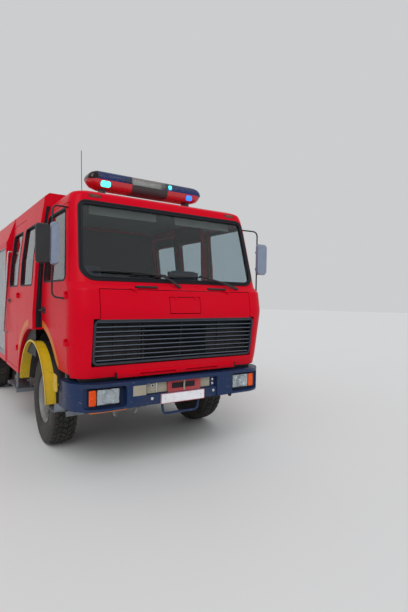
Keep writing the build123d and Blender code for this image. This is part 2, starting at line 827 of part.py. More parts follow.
# Seats: two in front and one bench for the crew, each a cushion and a back on a base
seat_table = (
    # x, station of the front edge, width, base height, cushion height
    (690, 760, 480, 1130, 1490),
    (-690, 760, 480, 1130, 1490),
    (0, 2420, 1900, 1011, 1440),
)
seat_depth = 470.0
back_height = 640.0
with BuildPart() as seats:
    for x, station, width, base_z, top_z in seat_table:
        with BuildSketch(Plane.YZ.offset(x - width / 2)) as seat_side:
            with BuildLine():
                Polyline((at(station), base_z), (at(station), top_z), (at(station + seat_depth - 120), top_z - 20),
                         (at(station + seat_depth - 60), top_z + back_height),
                         (at(station + seat_depth), top_z + back_height),
                         (at(station + seat_depth), base_z), close=True)
            make_face()
            fillet(seat_side.vertices().sort_by(Axis.Y)[2:], 26)
        extrude(amount=width)
    add(arch(front_overhang, floor_arch + floor_thickness + rest_gap, -floor_half, floor_half),
        mode=Mode.SUBTRACT)
save(seats, "seats")

# Chassis frame: two channel rails joined by cross members
cross_stations = (200, 2150, 3300, 4200, 5650, rail_rear - 140)
coupling_half = 70.0
coupling_bore = 20.0
coupling_station = rail_rear + 66
with BuildPart() as chassis_frame:
    for side in (-1, 1):
        with BuildSketch(Plane.XZ.offset(-at(rail_rear))):
            with BuildLine():
                Polyline(
                    (side * rail_x, rail_low_z), (side * rail_x, rail_low_z + rail_height),
                    (side * (rail_x - rail_flange), rail_low_z + rail_height),
                    (side * (rail_x - rail_flange), rail_low_z + rail_height - rail_web),
                    (side * (rail_x - rail_web), rail_low_z + rail_height - rail_web),
                    (side * (rail_x - rail_web), rail_low_z + rail_web),
                    (side * (rail_x - rail_flange), rail_low_z + rail_web),
                    (side * (rail_x - rail_flange), rail_low_z), close=True)
            make_face()
        extrude(amount=rail_rear - rail_front)
    for station in cross_stations:
        add(block((rail_web - rail_x, rail_x - rail_web), (station, station + 60),
                  (rail_low_z + 160, rail_low_z + 222)))
    add(block((rail_web - rail_x, rail_x - rail_web), (rail_rear - 60, rail_rear),
              (rail_low_z + 20, rail_low_z + 210)))
    add(block((-coupling_half, coupling_half), (rail_rear, rail_rear + 110), (rail_low_z + 20, rail_low_z + 150)))
    with BuildSketch(Plane.XY.offset(rail_low_z)):
        with Locations((0, at(coupling_station))):
            Circle(coupling_bore)
    extrude(amount=200, mode=Mode.SUBTRACT)
save(chassis_frame, "chassis_frame")


# Leaf springs: a stack of leaves, each shorter than the one above
def spring_solid(side, axle_station, half, leaves, base_z):
    """One spring pack, with hangers that reach the rail."""
    with BuildPart() as pack:
        for leaf in range(leaves):
            reach = half * (1 - 0.8 * leaf / leaves)
            with BuildSketch(Plane.YZ.offset(side * spring_x - spring_width / 2)):
                with Locations((at(axle_station), base_z + (leaves - leaf - 0.5) * leaf_thickness)):
                    Rectangle(2 * reach, leaf_thickness)
            extrude(amount=spring_width)
        top_z = base_z + leaves * leaf_thickness
        for end in (-1, 1):
            place = axle_station + end * (half - 35)
            add(block((side * spring_x - spring_width / 2, side * spring_x + spring_width / 2),
                      (place - 35, place + 35), (top_z - 2, rail_low_z)))
    return pack.part


axle_top_z = 592.0
spring_table = (
    # axle station, half length, number of leaves
    (front_overhang, front_spring_half, 7),
    (front_overhang + wheelbase, rear_spring_half, 8),
)
spring_solids = [spring_solid(side, station, half, leaves, axle_top_z)
                 for station, half, leaves in spring_table for side in (-1, 1)]
with BuildPart() as leaf_springs:
    for solid in spring_solids:
        add(solid)
save(leaf_springs, "leaf_springs")

# Front axle: dropped beam with spring seats and kingpin bosses
boss_radius = 46.0
boss_half = 55.0
axle_z = tyre_radius
beam_low_z = 400.0
with BuildPart() as front_axle:
    with BuildSketch(Plane.XZ.offset(-front_axle_y - 42)) as beam:
        with BuildLine():
            Polyline((-kingpin_x, axle_z - 50), (-690, axle_z - 50), (-560, beam_low_z), (560, beam_low_z),
                     (690, axle_z - 50), (kingpin_x, axle_z - 50), (kingpin_x, axle_z + 50),
                     (650, axle_z + 50), (520, beam_low_z + 95), (-520, beam_low_z + 95),
                     (-650, axle_z + 50), (-kingpin_x, axle_z + 50), close=True)
        make_face()
    extrude(amount=84)
    for side in (-1, 1):
        add(block((side * spring_x - 60, side * spring_x + 60),
                  (front_overhang - 80, front_overhang + 80), (beam_low_z + 90, axle_top_z)))
        with BuildSketch(Plane.XY.offset(axle_z - boss_half)):
            with Locations((side * kingpin_x, front_axle_y)):
                Circle(boss_radius)
        extrude(amount=2 * boss_half)
        with BuildSketch(Plane.XY.offset(axle_z - 200)):
            with Locations((side * kingpin_x, front_axle_y)):
                Circle(kingpin_radius + rest_gap)
        extrude(amount=400, mode=Mode.SUBTRACT)
        add(block((min(side * (kingpin_x + 47), side * (kingpin_x + 200)),
                   max(side * (kingpin_x + 47), side * (kingpin_x + 200))),
                  (front_overhang - 200, front_overhang + 200), (300, 700)), mode=Mode.SUBTRACT)
save(front_axle, "front_axle")

# Knuckles: kingpin between two lugs, flange and spindle
lug_gap = 6.0
lug_thickness = 34.0
flange_x = 858.0
spindle_end_x = 985.0


def knuckle_solid(side):
    """Steering knuckle on one side."""
    with BuildPart() as knuckle:
        with BuildSketch(Plane.XY.offset(axle_z - boss_half - lug_gap - lug_thickness)):
            with Locations((side * kingpin_x, front_axle_y)):
                Circle(kingpin_radius)
        extrude(amount=2 * (boss_half + lug_gap + lug_thickness))
        for low_z in (axle_z + boss_half + lug_gap, axle_z - boss_half - lug_gap - lug_thickness):
            with BuildSketch(Plane.XY.offset(low_z)):
                with Locations((side * kingpin_x, front_axle_y)):
                    Circle(boss_radius)
                with Locations((side * (kingpin_x + flange_x + 20) / 2, front_axle_y)):
                    Rectangle(flange_x + 20 - kingpin_x, 2 * boss_radius)
            extrude(amount=lug_thickness)
        with BuildSketch(Plane.YZ.offset(side * flange_x)):
            with Locations((front_axle_y, axle_z)):
                Circle(boss_half + lug_gap + lug_thickness)
        extrude(amount=side * 24)
        with BuildSketch(Plane.YZ.offset(side * flange_x)):
            with Locations((front_axle_y, axle_z)):
                Circle(spindle_radius)
        extrude(amount=side * (spindle_end_x - flange_x))
    return knuckle.part


for name, side in sides:
    with BuildPart() as knuckle:
        add(knuckle_solid(side))
    save(knuckle, f"knuckle_{name}")

# Rear axle: banjo housing with tubes that carry the twin wheels
tube_radius = 62.0
banjo_radius = 190.0
rear_hub_x = (twin_inner_x + twin_outer_x) / 2 + 85.0
with BuildPart() as rear_axle:
    with BuildSketch(Plane.XZ.offset(-rear_axle_y)) as housing:
        with BuildLine():
            Polyline((0, axle_z), (0, axle_z + banjo_radius), (70, axle_z + banjo_radius),
                     (230, axle_z + tube_radius + 10), (640, axle_z + tube_radius),
                     (640, axle_z + spindle_radius), (rear_hub_x, axle_z + spindle_radius),
                     (rear_hub_x, axle_z), close=True)
        make_face()
        mirror(about=Plane.YZ)
    revolve(axis=Axis((0, rear_axle_y, axle_z), (1, 0, 0)))
    for side in (-1, 1):
        add(block((side * spring_x - 60, side * spring_x + 60),
                  (front_overhang + wheelbase - 90, front_overhang + wheelbase + 90),
                  (axle_z, axle_top_z)))
save(rear_axle, "rear_axle")


# Wheels: tyre section and dished disc, each revolved about the axle
def turned(profile, axle_y):
    """Ring turned about a wheel's axis from (x, radius) points."""
    with BuildPart() as ring:
        with BuildSketch(Plane.XZ.offset(-axle_y)):
            with BuildLine():
                Polyline(*[(x, axle_z + r) for x, r in profile], close=True)
            make_face()
        revolve(axis=Axis((0, axle_y, axle_z), (1, 0, 0)))
    return ring.part


def tyre_solid(centre_x, axle_y):
    """Tyre with rounded walls and shoulders."""
    half = tyre_width / 2
    wall = ((half - 34, bead_radius), (half, bead_radius + 90), (half - 2, tyre_radius - 80),
            (half - 22, tyre_radius - 18), (half - 40, tyre_radius))
    left = [(centre_x - x, r) for x, r in wall]
    right = [(centre_x + x, r) for x, r in reversed(wall)]
    return turned(left + right, axle_y)


rim_half = tyre_width / 2 - 26
hub_bore = spindle_radius + rest_gap
front_disc_x = front_wheel_x - 20
# Dished front disc and its barrel: x, radius
front_rim_profile = (
    (front_wheel_x - rim_half, bead_radius - 1),
    (front_wheel_x - rim_half, bead_radius - 26),
    (front_disc_x - 50, bead_radius - 40),
    (front_disc_x - 14, 150),
    (front_disc_x - 40, 95),
    (front_disc_x - 40, hub_bore),
    (front_disc_x + 46, hub_bore),
    (front_disc_x + 46, 80),
    (front_disc_x + 8, 100),
    (front_disc_x, 160),
    (front_disc_x - 34, bead_radius - 46),
    (front_wheel_x + rim_half, bead_radius - 26),
    (front_wheel_x + rim_half, bead_radius - 1),
)
twin_disc_x = (twin_inner_x + twin_outer_x) / 2
# Twin rims bolted back to back on one hub: x, radius
twin_rim_profile = (
    (twin_inner_x - rim_half, bead_radius - 1),
    (twin_inner_x - rim_half, bead_radius - 26),
    (twin_disc_x - 70, bead_radius - 46),
    (twin_disc_x - 20, 165),
    (twin_disc_x - 20, hub_bore),
    (twin_disc_x + 100, hub_bore),
    (twin_disc_x + 100, 80),
    (twin_disc_x + 20, 110),
    (twin_disc_x + 20, 165),
    (twin_disc_x + 70, bead_radius - 46),
    (twin_outer_x + rim_half, bead_radius - 26),
    (twin_outer_x + rim_half, bead_radius - 1),
)
for name, side in sides:
    with BuildPart() as tyre:
        add(tyre_solid(side * front_wheel_x, front_axle_y))
    save(tyre, f"tyre_front_{name}")
    with BuildPart() as rim:
        add(turned([(side * x, r) for x, r in front_rim_profile], front_axle_y))
    save(rim, f"rim_front_{name}")
    twin_tyres = [tyre_solid(side * x, rear_axle_y) for x in (twin_inner_x, twin_outer_x)]
    with BuildPart() as tyres:
        for solid in twin_tyres:
            add(solid)
    save(tyres, f"tyres_rear_{name}")
    with BuildPart() as rims:
        add(turned([(side * x, r) for x, r in twin_rim_profile], rear_axle_y))
    save(rims, f"rims_rear_{name}")

# Engine as a plain block, with the gearbox and propeller shaft behind it
engine_half = 330.0
engine_front = 330.0
engine_rear = 1330.0
engine_low_z = 610.0
engine_top_z = 1360.0
gearbox_rear = 2050.0
shaft_z = 790.0
shaft_end_z = 545.0
shaft_radius = 45.0
with BuildPart() as powertrain:
    add(block((-engine_half, engine_half), (engine_front, engine_rear), (engine_low_z, engine_top_z)))
    with BuildSketch(Plane.XZ.offset(-at(engine_rear))):
        with Locations((0, 850)):
            RectangleRounded(500, 420, 90)
    with BuildSketch(Plane.XZ.offset(-at(gearbox_rear))):
        with Locations((0, 820)):
            RectangleRounded(240, 240, 60)
    loft(ruled=True)
    with BuildLine() as shaft:
        Line((0, at(gearbox_rear) - 20, shaft_z), (0, rear_axle_y - banjo_radius - 3, shaft_end_z))
    with BuildSketch(shaft.line ^ 0):
        Circle(shaft_radius)
    sweep()
    for side in (-1, 1):
        add(block(sorted((side * engine_half, side * (rail_x - rail_flange))), (560, 680),
                  (rail_low_z, rail_low_z + 70)))
save(powertrain, "powertrain")

# Exhaust: silencer under the crew cab with a tail pipe to the right side
silencer_radius = 125.0
with BuildPart() as exhaust:
    with BuildSketch(Plane.XZ.offset(-at(2980))):
        with Locations((-640, 600)):
            Circle(silencer_radius)
    extrude(amount=720)
    with BuildSketch(Plane.YZ.offset(60 - crew_half)):
        with Locations((at(2620), 560)):
            Circle(42)
    extrude(amount=crew_half - 60 - 670)
    for station in (2400, 2860):
        add(block((-680, -rail_x), (station, station + 40), (rail_low_z, rail_low_z + 40)))
save(exhaust, "exhaust")

# Fuel tank beside the left rail, hung on two straps that meet the rail
tank_front = 2230.0
tank_rear = 2960.0
with BuildPart() as fuel_tank:
    with BuildSketch(Plane.XZ.offset(-at(tank_rear))):
        with Locations((735, 600)):
            RectangleRounded(500, 300, 60)
    extrude(amount=tank_rear - tank_front)
    for station in (tank_front + 120, tank_rear - 160):
        add(block((rail_x, 560), (station, station + 40), (rail_low_z + 20, 760)))
save(fuel_tank, "fuel_tank")

floor_cut_x = 600.0     # the body floor stops here beside the rear wheels

# Yellow mudguards: a curved sheet over each front wheel and each pair of rear wheels
mudguard_table = (
    # axle station, inner x, outer x, radius, front angle, rear angle
    (front_overhang, 850, crew_half - 10, mudguard_radius, 172, 12),
    (front_overhang + wheelbase, 620, body_half - 12, 600, 170, 10),
)


def mudguard_solid(side, station, inner_x, outer_x, radius, front_angle, rear_angle):
    """Curved sheet over a wheel with a lip along its outer edge."""
    low = min(side * inner_x, side * outer_x)
    with BuildPart() as guard:
        for reach, start, width in ((0, low, outer_x - inner_x),
                                    (14, side * outer_x - (12 if side > 0 else 0), 12)):
            with BuildSketch(Plane.YZ.offset(start)):
                with BuildLine():
                    outer = CenterArc((at(station), axle_z), radius + reach + mudguard_thickness,
                                      rear_angle, front_angle - rear_angle)
                    inner = CenterArc((at(station), axle_z), radius, rear_angle,
                                      front_angle - rear_angle)
                    Line(outer @ 0, inner @ 0)
                    Line(outer @ 1, inner @ 1)
                make_face()
            extrude(amount=width)
    return guard.part


mudguard_solids = [mudguard_solid(side, *row) for row in mudguard_table for side in (1, -1)]
with BuildPart() as guard_stays:
    for side in (1, -1):
        for station in (front_overhang - 260, front_overhang + 260):
            add(block(sorted((side * 960, side * 1000)), (station - 15, station + 15), (1100, 1320)))
    add(arch(front_overhang, floor_arch - rest_gap, -floor_half, floor_half), mode=Mode.INTERSECT)
    add(arch(front_overhang, mudguard_radius + mudguard_thickness / 2, -floor_half, floor_half),
        mode=Mode.SUBTRACT)

with BuildPart() as mudguards:
    for solid in mudguard_solids:
        add(solid)
    add(guard_stays.part)
    for side in (1, -1):
        for station in (front_overhang + wheelbase - 427, front_overhang + wheelbase + 427):
            add(block(sorted((side * floor_cut_x, side * 650)), (station - 22, station + 22), (930, 972)))
save(mudguards, "mudguards")

# Entry steps: tread plates hung in front of the front wheels and under the crew doors
step_table = (
    # inner x, outer x, front station, rear station, height, top of the brackets
    (900, 1080, 480, 690, 560, floor_z),
    (1010, crew_half - 10, 2230, 2900, 470, crew_low_z),
)
with BuildPart() as steps:
    for inner_x, outer_x, start, end, z, bracket_z in step_table:
        for side in (1, -1):
            low, high = sorted((side * inner_x, side * outer_x))
            add(block((low, high), (start, end), (z, z + 6)))
            add(block((low, high), (start, start + 6), (z - 45, z + 6)))
            add(block((low, high), (end - 6, end), (z - 45, z + 6)))
            for x in (low + 20, high - 36):
                add(block((x, x + 16), (start + 60, start + 120), (z, bracket_z)))
save(steps, "steps")

# Mirrors: heads on a tube arm bowed out from the front of each door
arm_top = (1056.0, 470.0, 2596.0)
arm_low = (1136.0, 330.0, 1700.0)
mirror_reach = 262.0     # from the cab's widest side to the mirror's outer edge
arm_station = 345.0
mirror_outer = cab_sections[2][1] + mirror_reach
arm_x = mirror_outer - 158
arm_radius = 9.0
head_low_z = 2020.0
head_top_z = 2390.0
head_width = 180.0
head_depth = 36.0
for name, side in sides:
    with BuildPart() as mirror_set:
        with BuildLine() as arm:
            FilletPolyline(
                (side * arm_top[0], at(arm_top[1]), arm_top[2]),
                (side * arm_x, at(arm_station), arm_top[2] - 20),
                (side * arm_x, at(arm_station), arm_low[2] + 10),
                (side * arm_low[0], at(arm_low[1]), arm_low[2]),
                radius=60)
        with BuildSketch(arm.line ^ 0):
            Circle(arm_radius)
        sweep()
        with BuildSketch(Plane.XZ.offset(-at(arm_station - arm_radius))):
            with Locations((side * (mirror_outer - head_width / 2), (head_low_z + head_top_z) / 2)):
                RectangleRounded(head_width, head_top_z - head_low_z, 28)
        extrude(amount=head_depth)
        add(block(sorted((side * (arm_x - 16), side * (arm_x + 16))),
                  (arm_station - arm_radius - 4, arm_station + arm_radius), (2150, 2260)))
        add(cab_outside, mode=Mode.SUBTRACT)
    save(mirror_set, f"mirror_{name}")

# Wipers: a pivot, an arm and a blade, parked low on the glass
wiper_table = (
    # pivot x, knee x, knee z, blade start x, blade end x, blade end z
    (-22, -227, 1946, -924, -150, 1965),
    (749, 269, 1956, -275, 320, 1934),
)
pivot_z = flap_top_z + 36.0
pivot_s = between(pivot_z, 2)
clear = 26.0
with BuildPart() as wipers:
    for pivot_x, knee_x, knee_z, start_x, end_x, blade_z in wiper_table:
        glass_s = between(knee_z, 2) - clear
        with BuildLine() as arm:
            Polyline((pivot_x, at(pivot_s - 24), pivot_z), (knee_x, at(glass_s - 14), knee_z))
        with BuildSketch(arm.line ^ 0):
            Rectangle(26, 12)
        sweep()
        with BuildLine() as blade:
            Polyline((start_x, at(between(blade_z, 2) - clear), blade_z),
                     (end_x, at(glass_s), knee_z))
        with BuildSketch(blade.line ^ 0):
            Rectangle(30, 18)
        sweep()
    add(cab_volume(-gasket_proud), mode=Mode.SUBTRACT)
    for row in wiper_table:
        with BuildSketch(Plane.XZ.offset(-at(pivot_s + 30))):
            with Locations((row[0], pivot_z)):
                Circle(20)
        extrude(amount=64)
    add(cab_outside, mode=Mode.SUBTRACT)
save(wipers, "wipers")

# Roof markers at the cab's front edge and tail lamps at the rear
tail_x = body_half - 120.0
tail_low_z = 760.0
tail_top_z = 1010.0
with BuildPart() as small_lamps:
    add(markers.part)
    for side in (-1, 1):
        add(block((side * tail_x - 55, side * tail_x + 55), (body_rear, body_rear + 34),
                  (tail_low_z, tail_top_z)))
save(small_lamps, "small_lamps")

# Light bar: housing on two feet across the cab roof, lenses over it
bar_station = 980.0
bar_half = 752.0
bar_low_z = 2925.0
bar_split_z = 3010.0
bar_top_z = 3185.0
bar_depth = 250.0
with BuildPart() as light_bar:
    with BuildSketch(Plane.XY.offset(bar_low_z)):
        with Locations((0, at(bar_station))):
            RectangleRounded(2 * bar_half - 60, bar_depth - 50, 90)
    with BuildSketch(Plane.XY.offset(bar_split_z)):
        with Locations((0, at(bar_station))):
            RectangleRounded(2 * bar_half, bar_depth, 110)
    loft(ruled=True)
    for side in (-1, 1):
        add(block((side * 560 - 25, side * 560 + 25), (bar_station - 60, bar_station + 60),
                  (cab_roof_z, bar_low_z)))
save(light_bar, "light_bar")

with BuildPart() as light_bar_lenses:
    for z, shrink in ((bar_split_z, 4), (bar_split_z + 90, 14), (bar_top_z, 110)):
        with BuildSketch(Plane.XY.offset(z)):
            with Locations((0, at(bar_station))):
                RectangleRounded(2 * bar_half - 2 * shrink, bar_depth - shrink, 60)
    loft(ruled=True)
save(light_bar_lenses, "light_bar_lenses")

antenna_x = -830.0
antenna_station = 850.0
antenna_top_z = 3310.0
with BuildPart() as antenna:
    with BuildSketch(Plane.XY.offset(cab_roof_z)):
        with Locations((antenna_x, at(antenna_station))):
            Circle(22)
    extrude(amount=36)
    with BuildSketch(Plane.XY.offset(cab_roof_z + 30)):
        with Locations((antenna_x, at(antenna_station))):
            Circle(4)
    extrude(amount=antenna_top_z - cab_roof_z - 30)
save(antenna, "antenna")

# Equipment body: side walls with shutter openings, roof, inner walls and floor
locker_table = (
    # front station, rear station, lower edge
    (3165, front_overhang + wheelbase - 660, shutter_low_z),
    (front_overhang + wheelbase - 585, front_overhang + wheelbase + 590, 1330),
    (front_overhang + wheelbase + 665, body_rear - 145, shutter_low_z),
)
rear_arch_radius = 700.0
with BuildPart() as body_side_left:
    add(block((body_half - body_wall, body_half), (body_front, body_rear), (body_low_z, body_shoulder_z)))
    for start, end, low_z in locker_table:
        add(block((body_half - body_wall - 10, body_half + 10), (start, end), (low_z, shutter_top_z)),
            mode=Mode.SUBTRACT)
    add(arch(front_overhang + wheelbase, rear_arch_radius, 0, crew_half + 50), mode=Mode.SUBTRACT)

with BuildPart() as body_sides:
    add(body_side_left.part)
    mirror(body_side_left.part, about=Plane.YZ)
save(body_sides, "body_sides")

with BuildPart() as shutters:
    for start, end, low_z in locker_table:
        for side in (1, -1):
            outer = side * (body_half - shutter_inset)
            inner = side * (body_half - shutter_inset - shutter_thickness)
            add(block(sorted((outer, inner)), (start, end), (low_z, shutter_top_z)))
            bar = side * (body_half - 6)
            add(block(sorted((outer, bar)), (start + 40, end - 40), (low_z + 30, low_z + 56)))
save(shutters, "shutters")

roof_outer = ((-body_half, body_shoulder_z), (-body_roof_half, body_roof_z),
              (body_roof_half, body_roof_z), (body_half, body_shoulder_z))
roof_inner = ((body_half - body_wall, body_shoulder_z), (body_roof_half - body_wall, body_roof_z - body_wall),
              (body_wall - body_roof_half, body_roof_z - body_wall), (body_wall - body_half, body_shoulder_z))
with BuildPart() as body_roof:
    add(front_prism(roof_outer + roof_inner, body_front, body_rear))
save(body_roof, "body_roof")

# Pump couplings that stand out of the rear wall: x, z, pipe radius
inlet_z = 1230.0
inlet_radius = 62.0
inlet_wall = 12.0
outlet_z = 1200.0
outlet_radius = 42.0
outlet_pipe_radius = 50.0
outlet_x = (-430.0, -280.0, 280.0, 430.0)
wall_clearance = 6.0
coupling_reach = 60.0
coupling_table = [(0.0, inlet_z, inlet_radius + inlet_wall)] + [(x, outlet_z, outlet_pipe_radius) for x in outlet_x]

bulkhead_half = body_half - body_wall
bulkhead_profile = ((-bulkhead_half, 960), (bulkhead_half, 960), (bulkhead_half, body_shoulder_z),
                    (body_roof_half - body_wall, body_roof_z - body_wall),
                    (body_wall - body_roof_half, body_roof_z - body_wall), (-bulkhead_half, body_shoulder_z))
with BuildPart() as body_core:
    add(front_prism(bulkhead_profile, body_front, body_front + 40))
    add(front_prism(bulkhead_profile, bay_front - 40, bay_front))
    add(front_prism(bulkhead_profile, body_rear - 40, body_rear))
    add(block((-bulkhead_half, bulkhead_half), (body_front, body_rear), (rail_low_z + rail_height, 975)))
    add(block((-bay_half, bay_half), (body_rear - 100, body_rear + 100), (bay_low_z, bay_top_z)),
        mode=Mode.SUBTRACT)
    for x, z, radius in coupling_table:
        with BuildSketch(Plane.XZ.offset(-at(body_rear + 20))):
            with Locations((x, z)):
                Circle(radius + wall_clearance)
        extrude(amount=80, mode=Mode.SUBTRACT)
    add(block((-bay_half - 40, -bay_half), (bay_front, body_rear), (960, body_shoulder_z)))
    add(block((bay_half, bay_half + 40), (bay_front, body_rear), (960, body_shoulder_z)))
    for side in (1, -1):
        add(block(sorted((side * floor_cut_x, side * bulkhead_half)),
                  (front_overhang + wheelbase - 720, front_overhang + wheelbase + 720), (900, 1010)),
            mode=Mode.SUBTRACT)
    for x in rear_hinge_x:
        add(level_hinge(x, body_rear + flap_pin_lead, bay_top_z, 1, flap_barrel, 12, 44)
            .mirror(Plane.XZ.offset(-at(body_rear + flap_pin_lead))))
save(body_core, "body_core")

# Rear flap over the pump bay
flap_wall = 36.0
with BuildPart() as rear_flap:
    add(block((seam - bay_half, bay_half - seam), (body_rear - flap_wall, body_rear),
              (bay_low_z + seam, bay_top_z - seam)))
    for x in rear_hinge_x:
        add(level_hinge(x + flap_barrel_length + rest_gap, body_rear + flap_pin_lead, bay_top_z, -1,
                        flap_barrel, 24, 44)
            .mirror(Plane.XZ.offset(-at(body_rear + flap_pin_lead))))
save(rear_flap, "rear_flap")

# Pump unit in the bay: panel, volute, suction inlet and four outlets
panel_station = body_rear - 565.0
panel_thickness = 40.0
volute_length = 160.0
volute_station = panel_station + panel_thickness + volute_length
gauge_x = (-300.0, -100.0, 100.0, 300.0)
gauge_z = 1750.0
with BuildPart() as pump_unit:
    add(block((-bay_half + 20, bay_half - 20), (panel_station, panel_station + panel_thickness), (975, 1960)))
    add(block((-260, 260), (bay_front + 40, panel_station), (975, 1500)))
    with BuildSketch(Plane.XZ.offset(-at(volute_station))):
        with Locations((0, inlet_z)):
            Circle(190)
    extrude(amount=volute_length)
    with BuildSketch(Plane.XZ.offset(-at(body_rear + coupling_reach))):
        with Locations((0, inlet_z)):
            Circle(inlet_radius + inlet_wall)
            Circle(inlet_radius, mode=Mode.SUBTRACT)
    extrude(amount=body_rear + coupling_reach - volute_station)
    for x in outlet_x:
        with BuildSketch(Plane.XZ.offset(-at(body_rear + 5))):
            with Locations((x, outlet_z)):
                Circle(outlet_pipe_radius)
        extrude(amount=body_rear + 5 - panel_station - panel_thickness)
        with BuildSketch(Plane.XZ.offset(-at(body_rear + coupling_reach))):
            with Locations((x, outlet_z)):
                Circle(outlet_radius)
        extrude(amount=coupling_reach - 5)
    for x in gauge_x:
        with BuildSketch(Plane.XZ.offset(-at(panel_station + panel_thickness + 22))):
            with Locations((x, gauge_z)):
                Circle(55)
        extrude(amount=22)
save(pump_unit, "pump_unit")

# Ladder on the roof: two stiles with rungs, on three cross rests
stile_gap = 420.0
ladder_x = 420.0
ladder_front = 3300.0
ladder_rear = body_rear - 175.0
ladder_z = 2990.0
ladder_rungs = 13
rung_margin = 150.0
rung_pitch = (ladder_rear - ladder_front - 2 * rung_margin) / (ladder_rungs - 1)
rest_half = 760.0
with BuildPart() as roof_ladder:
    for x in (ladder_x - stile_gap / 2, ladder_x + stile_gap / 2):
        add(block((x - 14, x + 14), (ladder_front, ladder_rear), (ladder_z - 38, ladder_z + 38)))
    for rung in range(ladder_rungs):
        station = ladder_front + rung_margin + rung * rung_pitch
        with BuildSketch(Plane.YZ.offset(ladder_x - stile_gap / 2)):
            with Locations((at(station), ladder_z)):
                Circle(16)
        extrude(amount=stile_gap)
    for station in (ladder_front + 300, (ladder_front + ladder_rear) / 2, ladder_rear - 350):
        add(block((-rest_half, rest_half), (station, station + 50), (ladder_z - 88, ladder_z - 38)))
        for x in (20 - rest_half, rest_half - 60):
            add(block((x, x + 40), (station, station + 50), (body_roof_z, ladder_z - 60)))
save(roof_ladder, "roof_ladder")

# Rear step on two brackets under the rails, notched so that a towing pin can be lifted in
step_low_z = 560.0
step_height = 60.0
step_front = body_rear + rear_step_gap
step_half = body_half - 70.0
with BuildPart() as rear_step:
    add(block((rest_gap - 2 * coupling_bore, 2 * coupling_bore - rest_gap),
              (coupling_station + 2 * coupling_bore, overall_length), (step_low_z, step_low_z + step_height)))
    for side in (-1, 1):
        add(block(sorted((side * 2 * coupling_bore, side * step_half)), (step_front, overall_length),
                  (step_low_z, step_low_z + step_height)))
        add(block(sorted((side * (rail_x - rail_flange), side * rail_x)), (rail_rear - 140, step_front),
                  (step_low_z + 10, rail_low_z)))
save(rear_step, "rear_step")
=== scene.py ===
import math
import bpy
import bmesh
from mathutils import Matrix, Vector


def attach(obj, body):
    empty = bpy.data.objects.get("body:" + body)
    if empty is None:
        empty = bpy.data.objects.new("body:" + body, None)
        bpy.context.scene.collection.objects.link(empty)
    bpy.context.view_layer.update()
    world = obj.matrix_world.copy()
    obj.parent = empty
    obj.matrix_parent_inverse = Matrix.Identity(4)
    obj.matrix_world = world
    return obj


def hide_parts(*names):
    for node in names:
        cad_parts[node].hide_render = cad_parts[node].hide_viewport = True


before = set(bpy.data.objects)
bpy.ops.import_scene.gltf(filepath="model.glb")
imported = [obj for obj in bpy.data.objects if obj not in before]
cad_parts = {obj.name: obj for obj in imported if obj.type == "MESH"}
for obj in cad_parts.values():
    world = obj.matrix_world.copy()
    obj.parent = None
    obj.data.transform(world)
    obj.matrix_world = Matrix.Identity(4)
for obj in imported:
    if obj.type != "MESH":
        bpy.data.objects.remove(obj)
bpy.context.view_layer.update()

# Shapes below are written in millimetres, in the part's own frame: +Z up, the front faces -Y and
# +X is the vehicle's left side. A station is a distance behind the front bumper's face.
half_length = 3700.0
front_wheel = (1330.0, 520.0)
rear_wheel = (4930.0, 520.0)


def at(station):
    return station - half_length


def on_axle(axle, x=0.0, reach=0.0, angle=0.0):
    """Point beside an axle (station, height), a reach away at an angle."""
    return (x, at(axle[0]) + reach * math.cos(angle), axle[1] + reach * math.sin(angle))


# ---------- outlines and forms: a form is a list of points and a list of faces ----------
def rectangle(a0, a1, b0, b1):
    return [(a0, b0), (a1, b0), (a1, b1), (a0, b1)]


def rounded(outline, radius, steps=5):
    """Outline with its corners rounded; radius is one value or one for each corner."""
    radii = radius if isinstance(radius, (list, tuple)) else [radius] * len(outline)
    result = []
    for here, corner in enumerate(outline):
        if radii[here] <= 0:
            result.append(tuple(corner))
            continue
        point = Vector(corner)
        before = (Vector(outline[here - 1]) - point).normalized()
        after = (Vector(outline[(here + 1) % len(outline)]) - point).normalized()
        opening = before.angle(after)
        reach = radii[here] / math.tan(opening / 2)
        centre = point + (before + after).normalized() * radii[here] / math.sin(opening / 2)
        start = point + before * reach - centre
        end = point + after * reach - centre
        turn = start.angle(end)
        for step in range(steps + 1):
            share = step / steps
            spoke = (start * math.sin((1 - share) * turn) + end * math.sin(share * turn)) / math.sin(turn)
            result.append(tuple(centre + spoke))
    return result


def pane(a0, a1, b0, b1, radius, steps=5):
    """Rectangle with rounded corners."""
    return rounded(rectangle(a0, a1, b0, b1), radius, steps)


def prism(outline, axis, low, high):
    """Straight prism of an outline: (y, z) across x, (x, z) across y or (x, y) across z."""
    place = {"x": lambda a, b, c: (c, a, b), "y": lambda a, b, c: (a, c, b), "z": lambda a, b, c: (a, b, c)}[axis]
    count = len(outline)
    points = [place(a, b, low) for a, b in outline] + [place(a, b, high) for a, b in outline]
    faces = [[i, (i + 1) % count, count + (i + 1) % count, count + i] for i in range(count)]
    return points, faces + [list(range(count))[::-1], list(range(count, 2 * count))]


def block(x, stations, z):
    """Block between two values of x, station and z."""
    return prism(rectangle(min(x), max(x), at(stations[0]), at(stations[1])), "z", z[0], z[1])


def side_prism(outline, low_x, high_x, radius=0.0):
    """Prism across x from (station, z) points."""
    outline = [(at(s), z) for s, z in outline]
    return prism(rounded(outline, radius) if radius else outline, "x", low_x, high_x)


def front_prism(outline, near, far, radius=0.0):
    """Prism along the vehicle from (x, z) points, between two stations."""
    return prism(rounded(outline, radius) if radius else outline, "y", at(near), at(far))


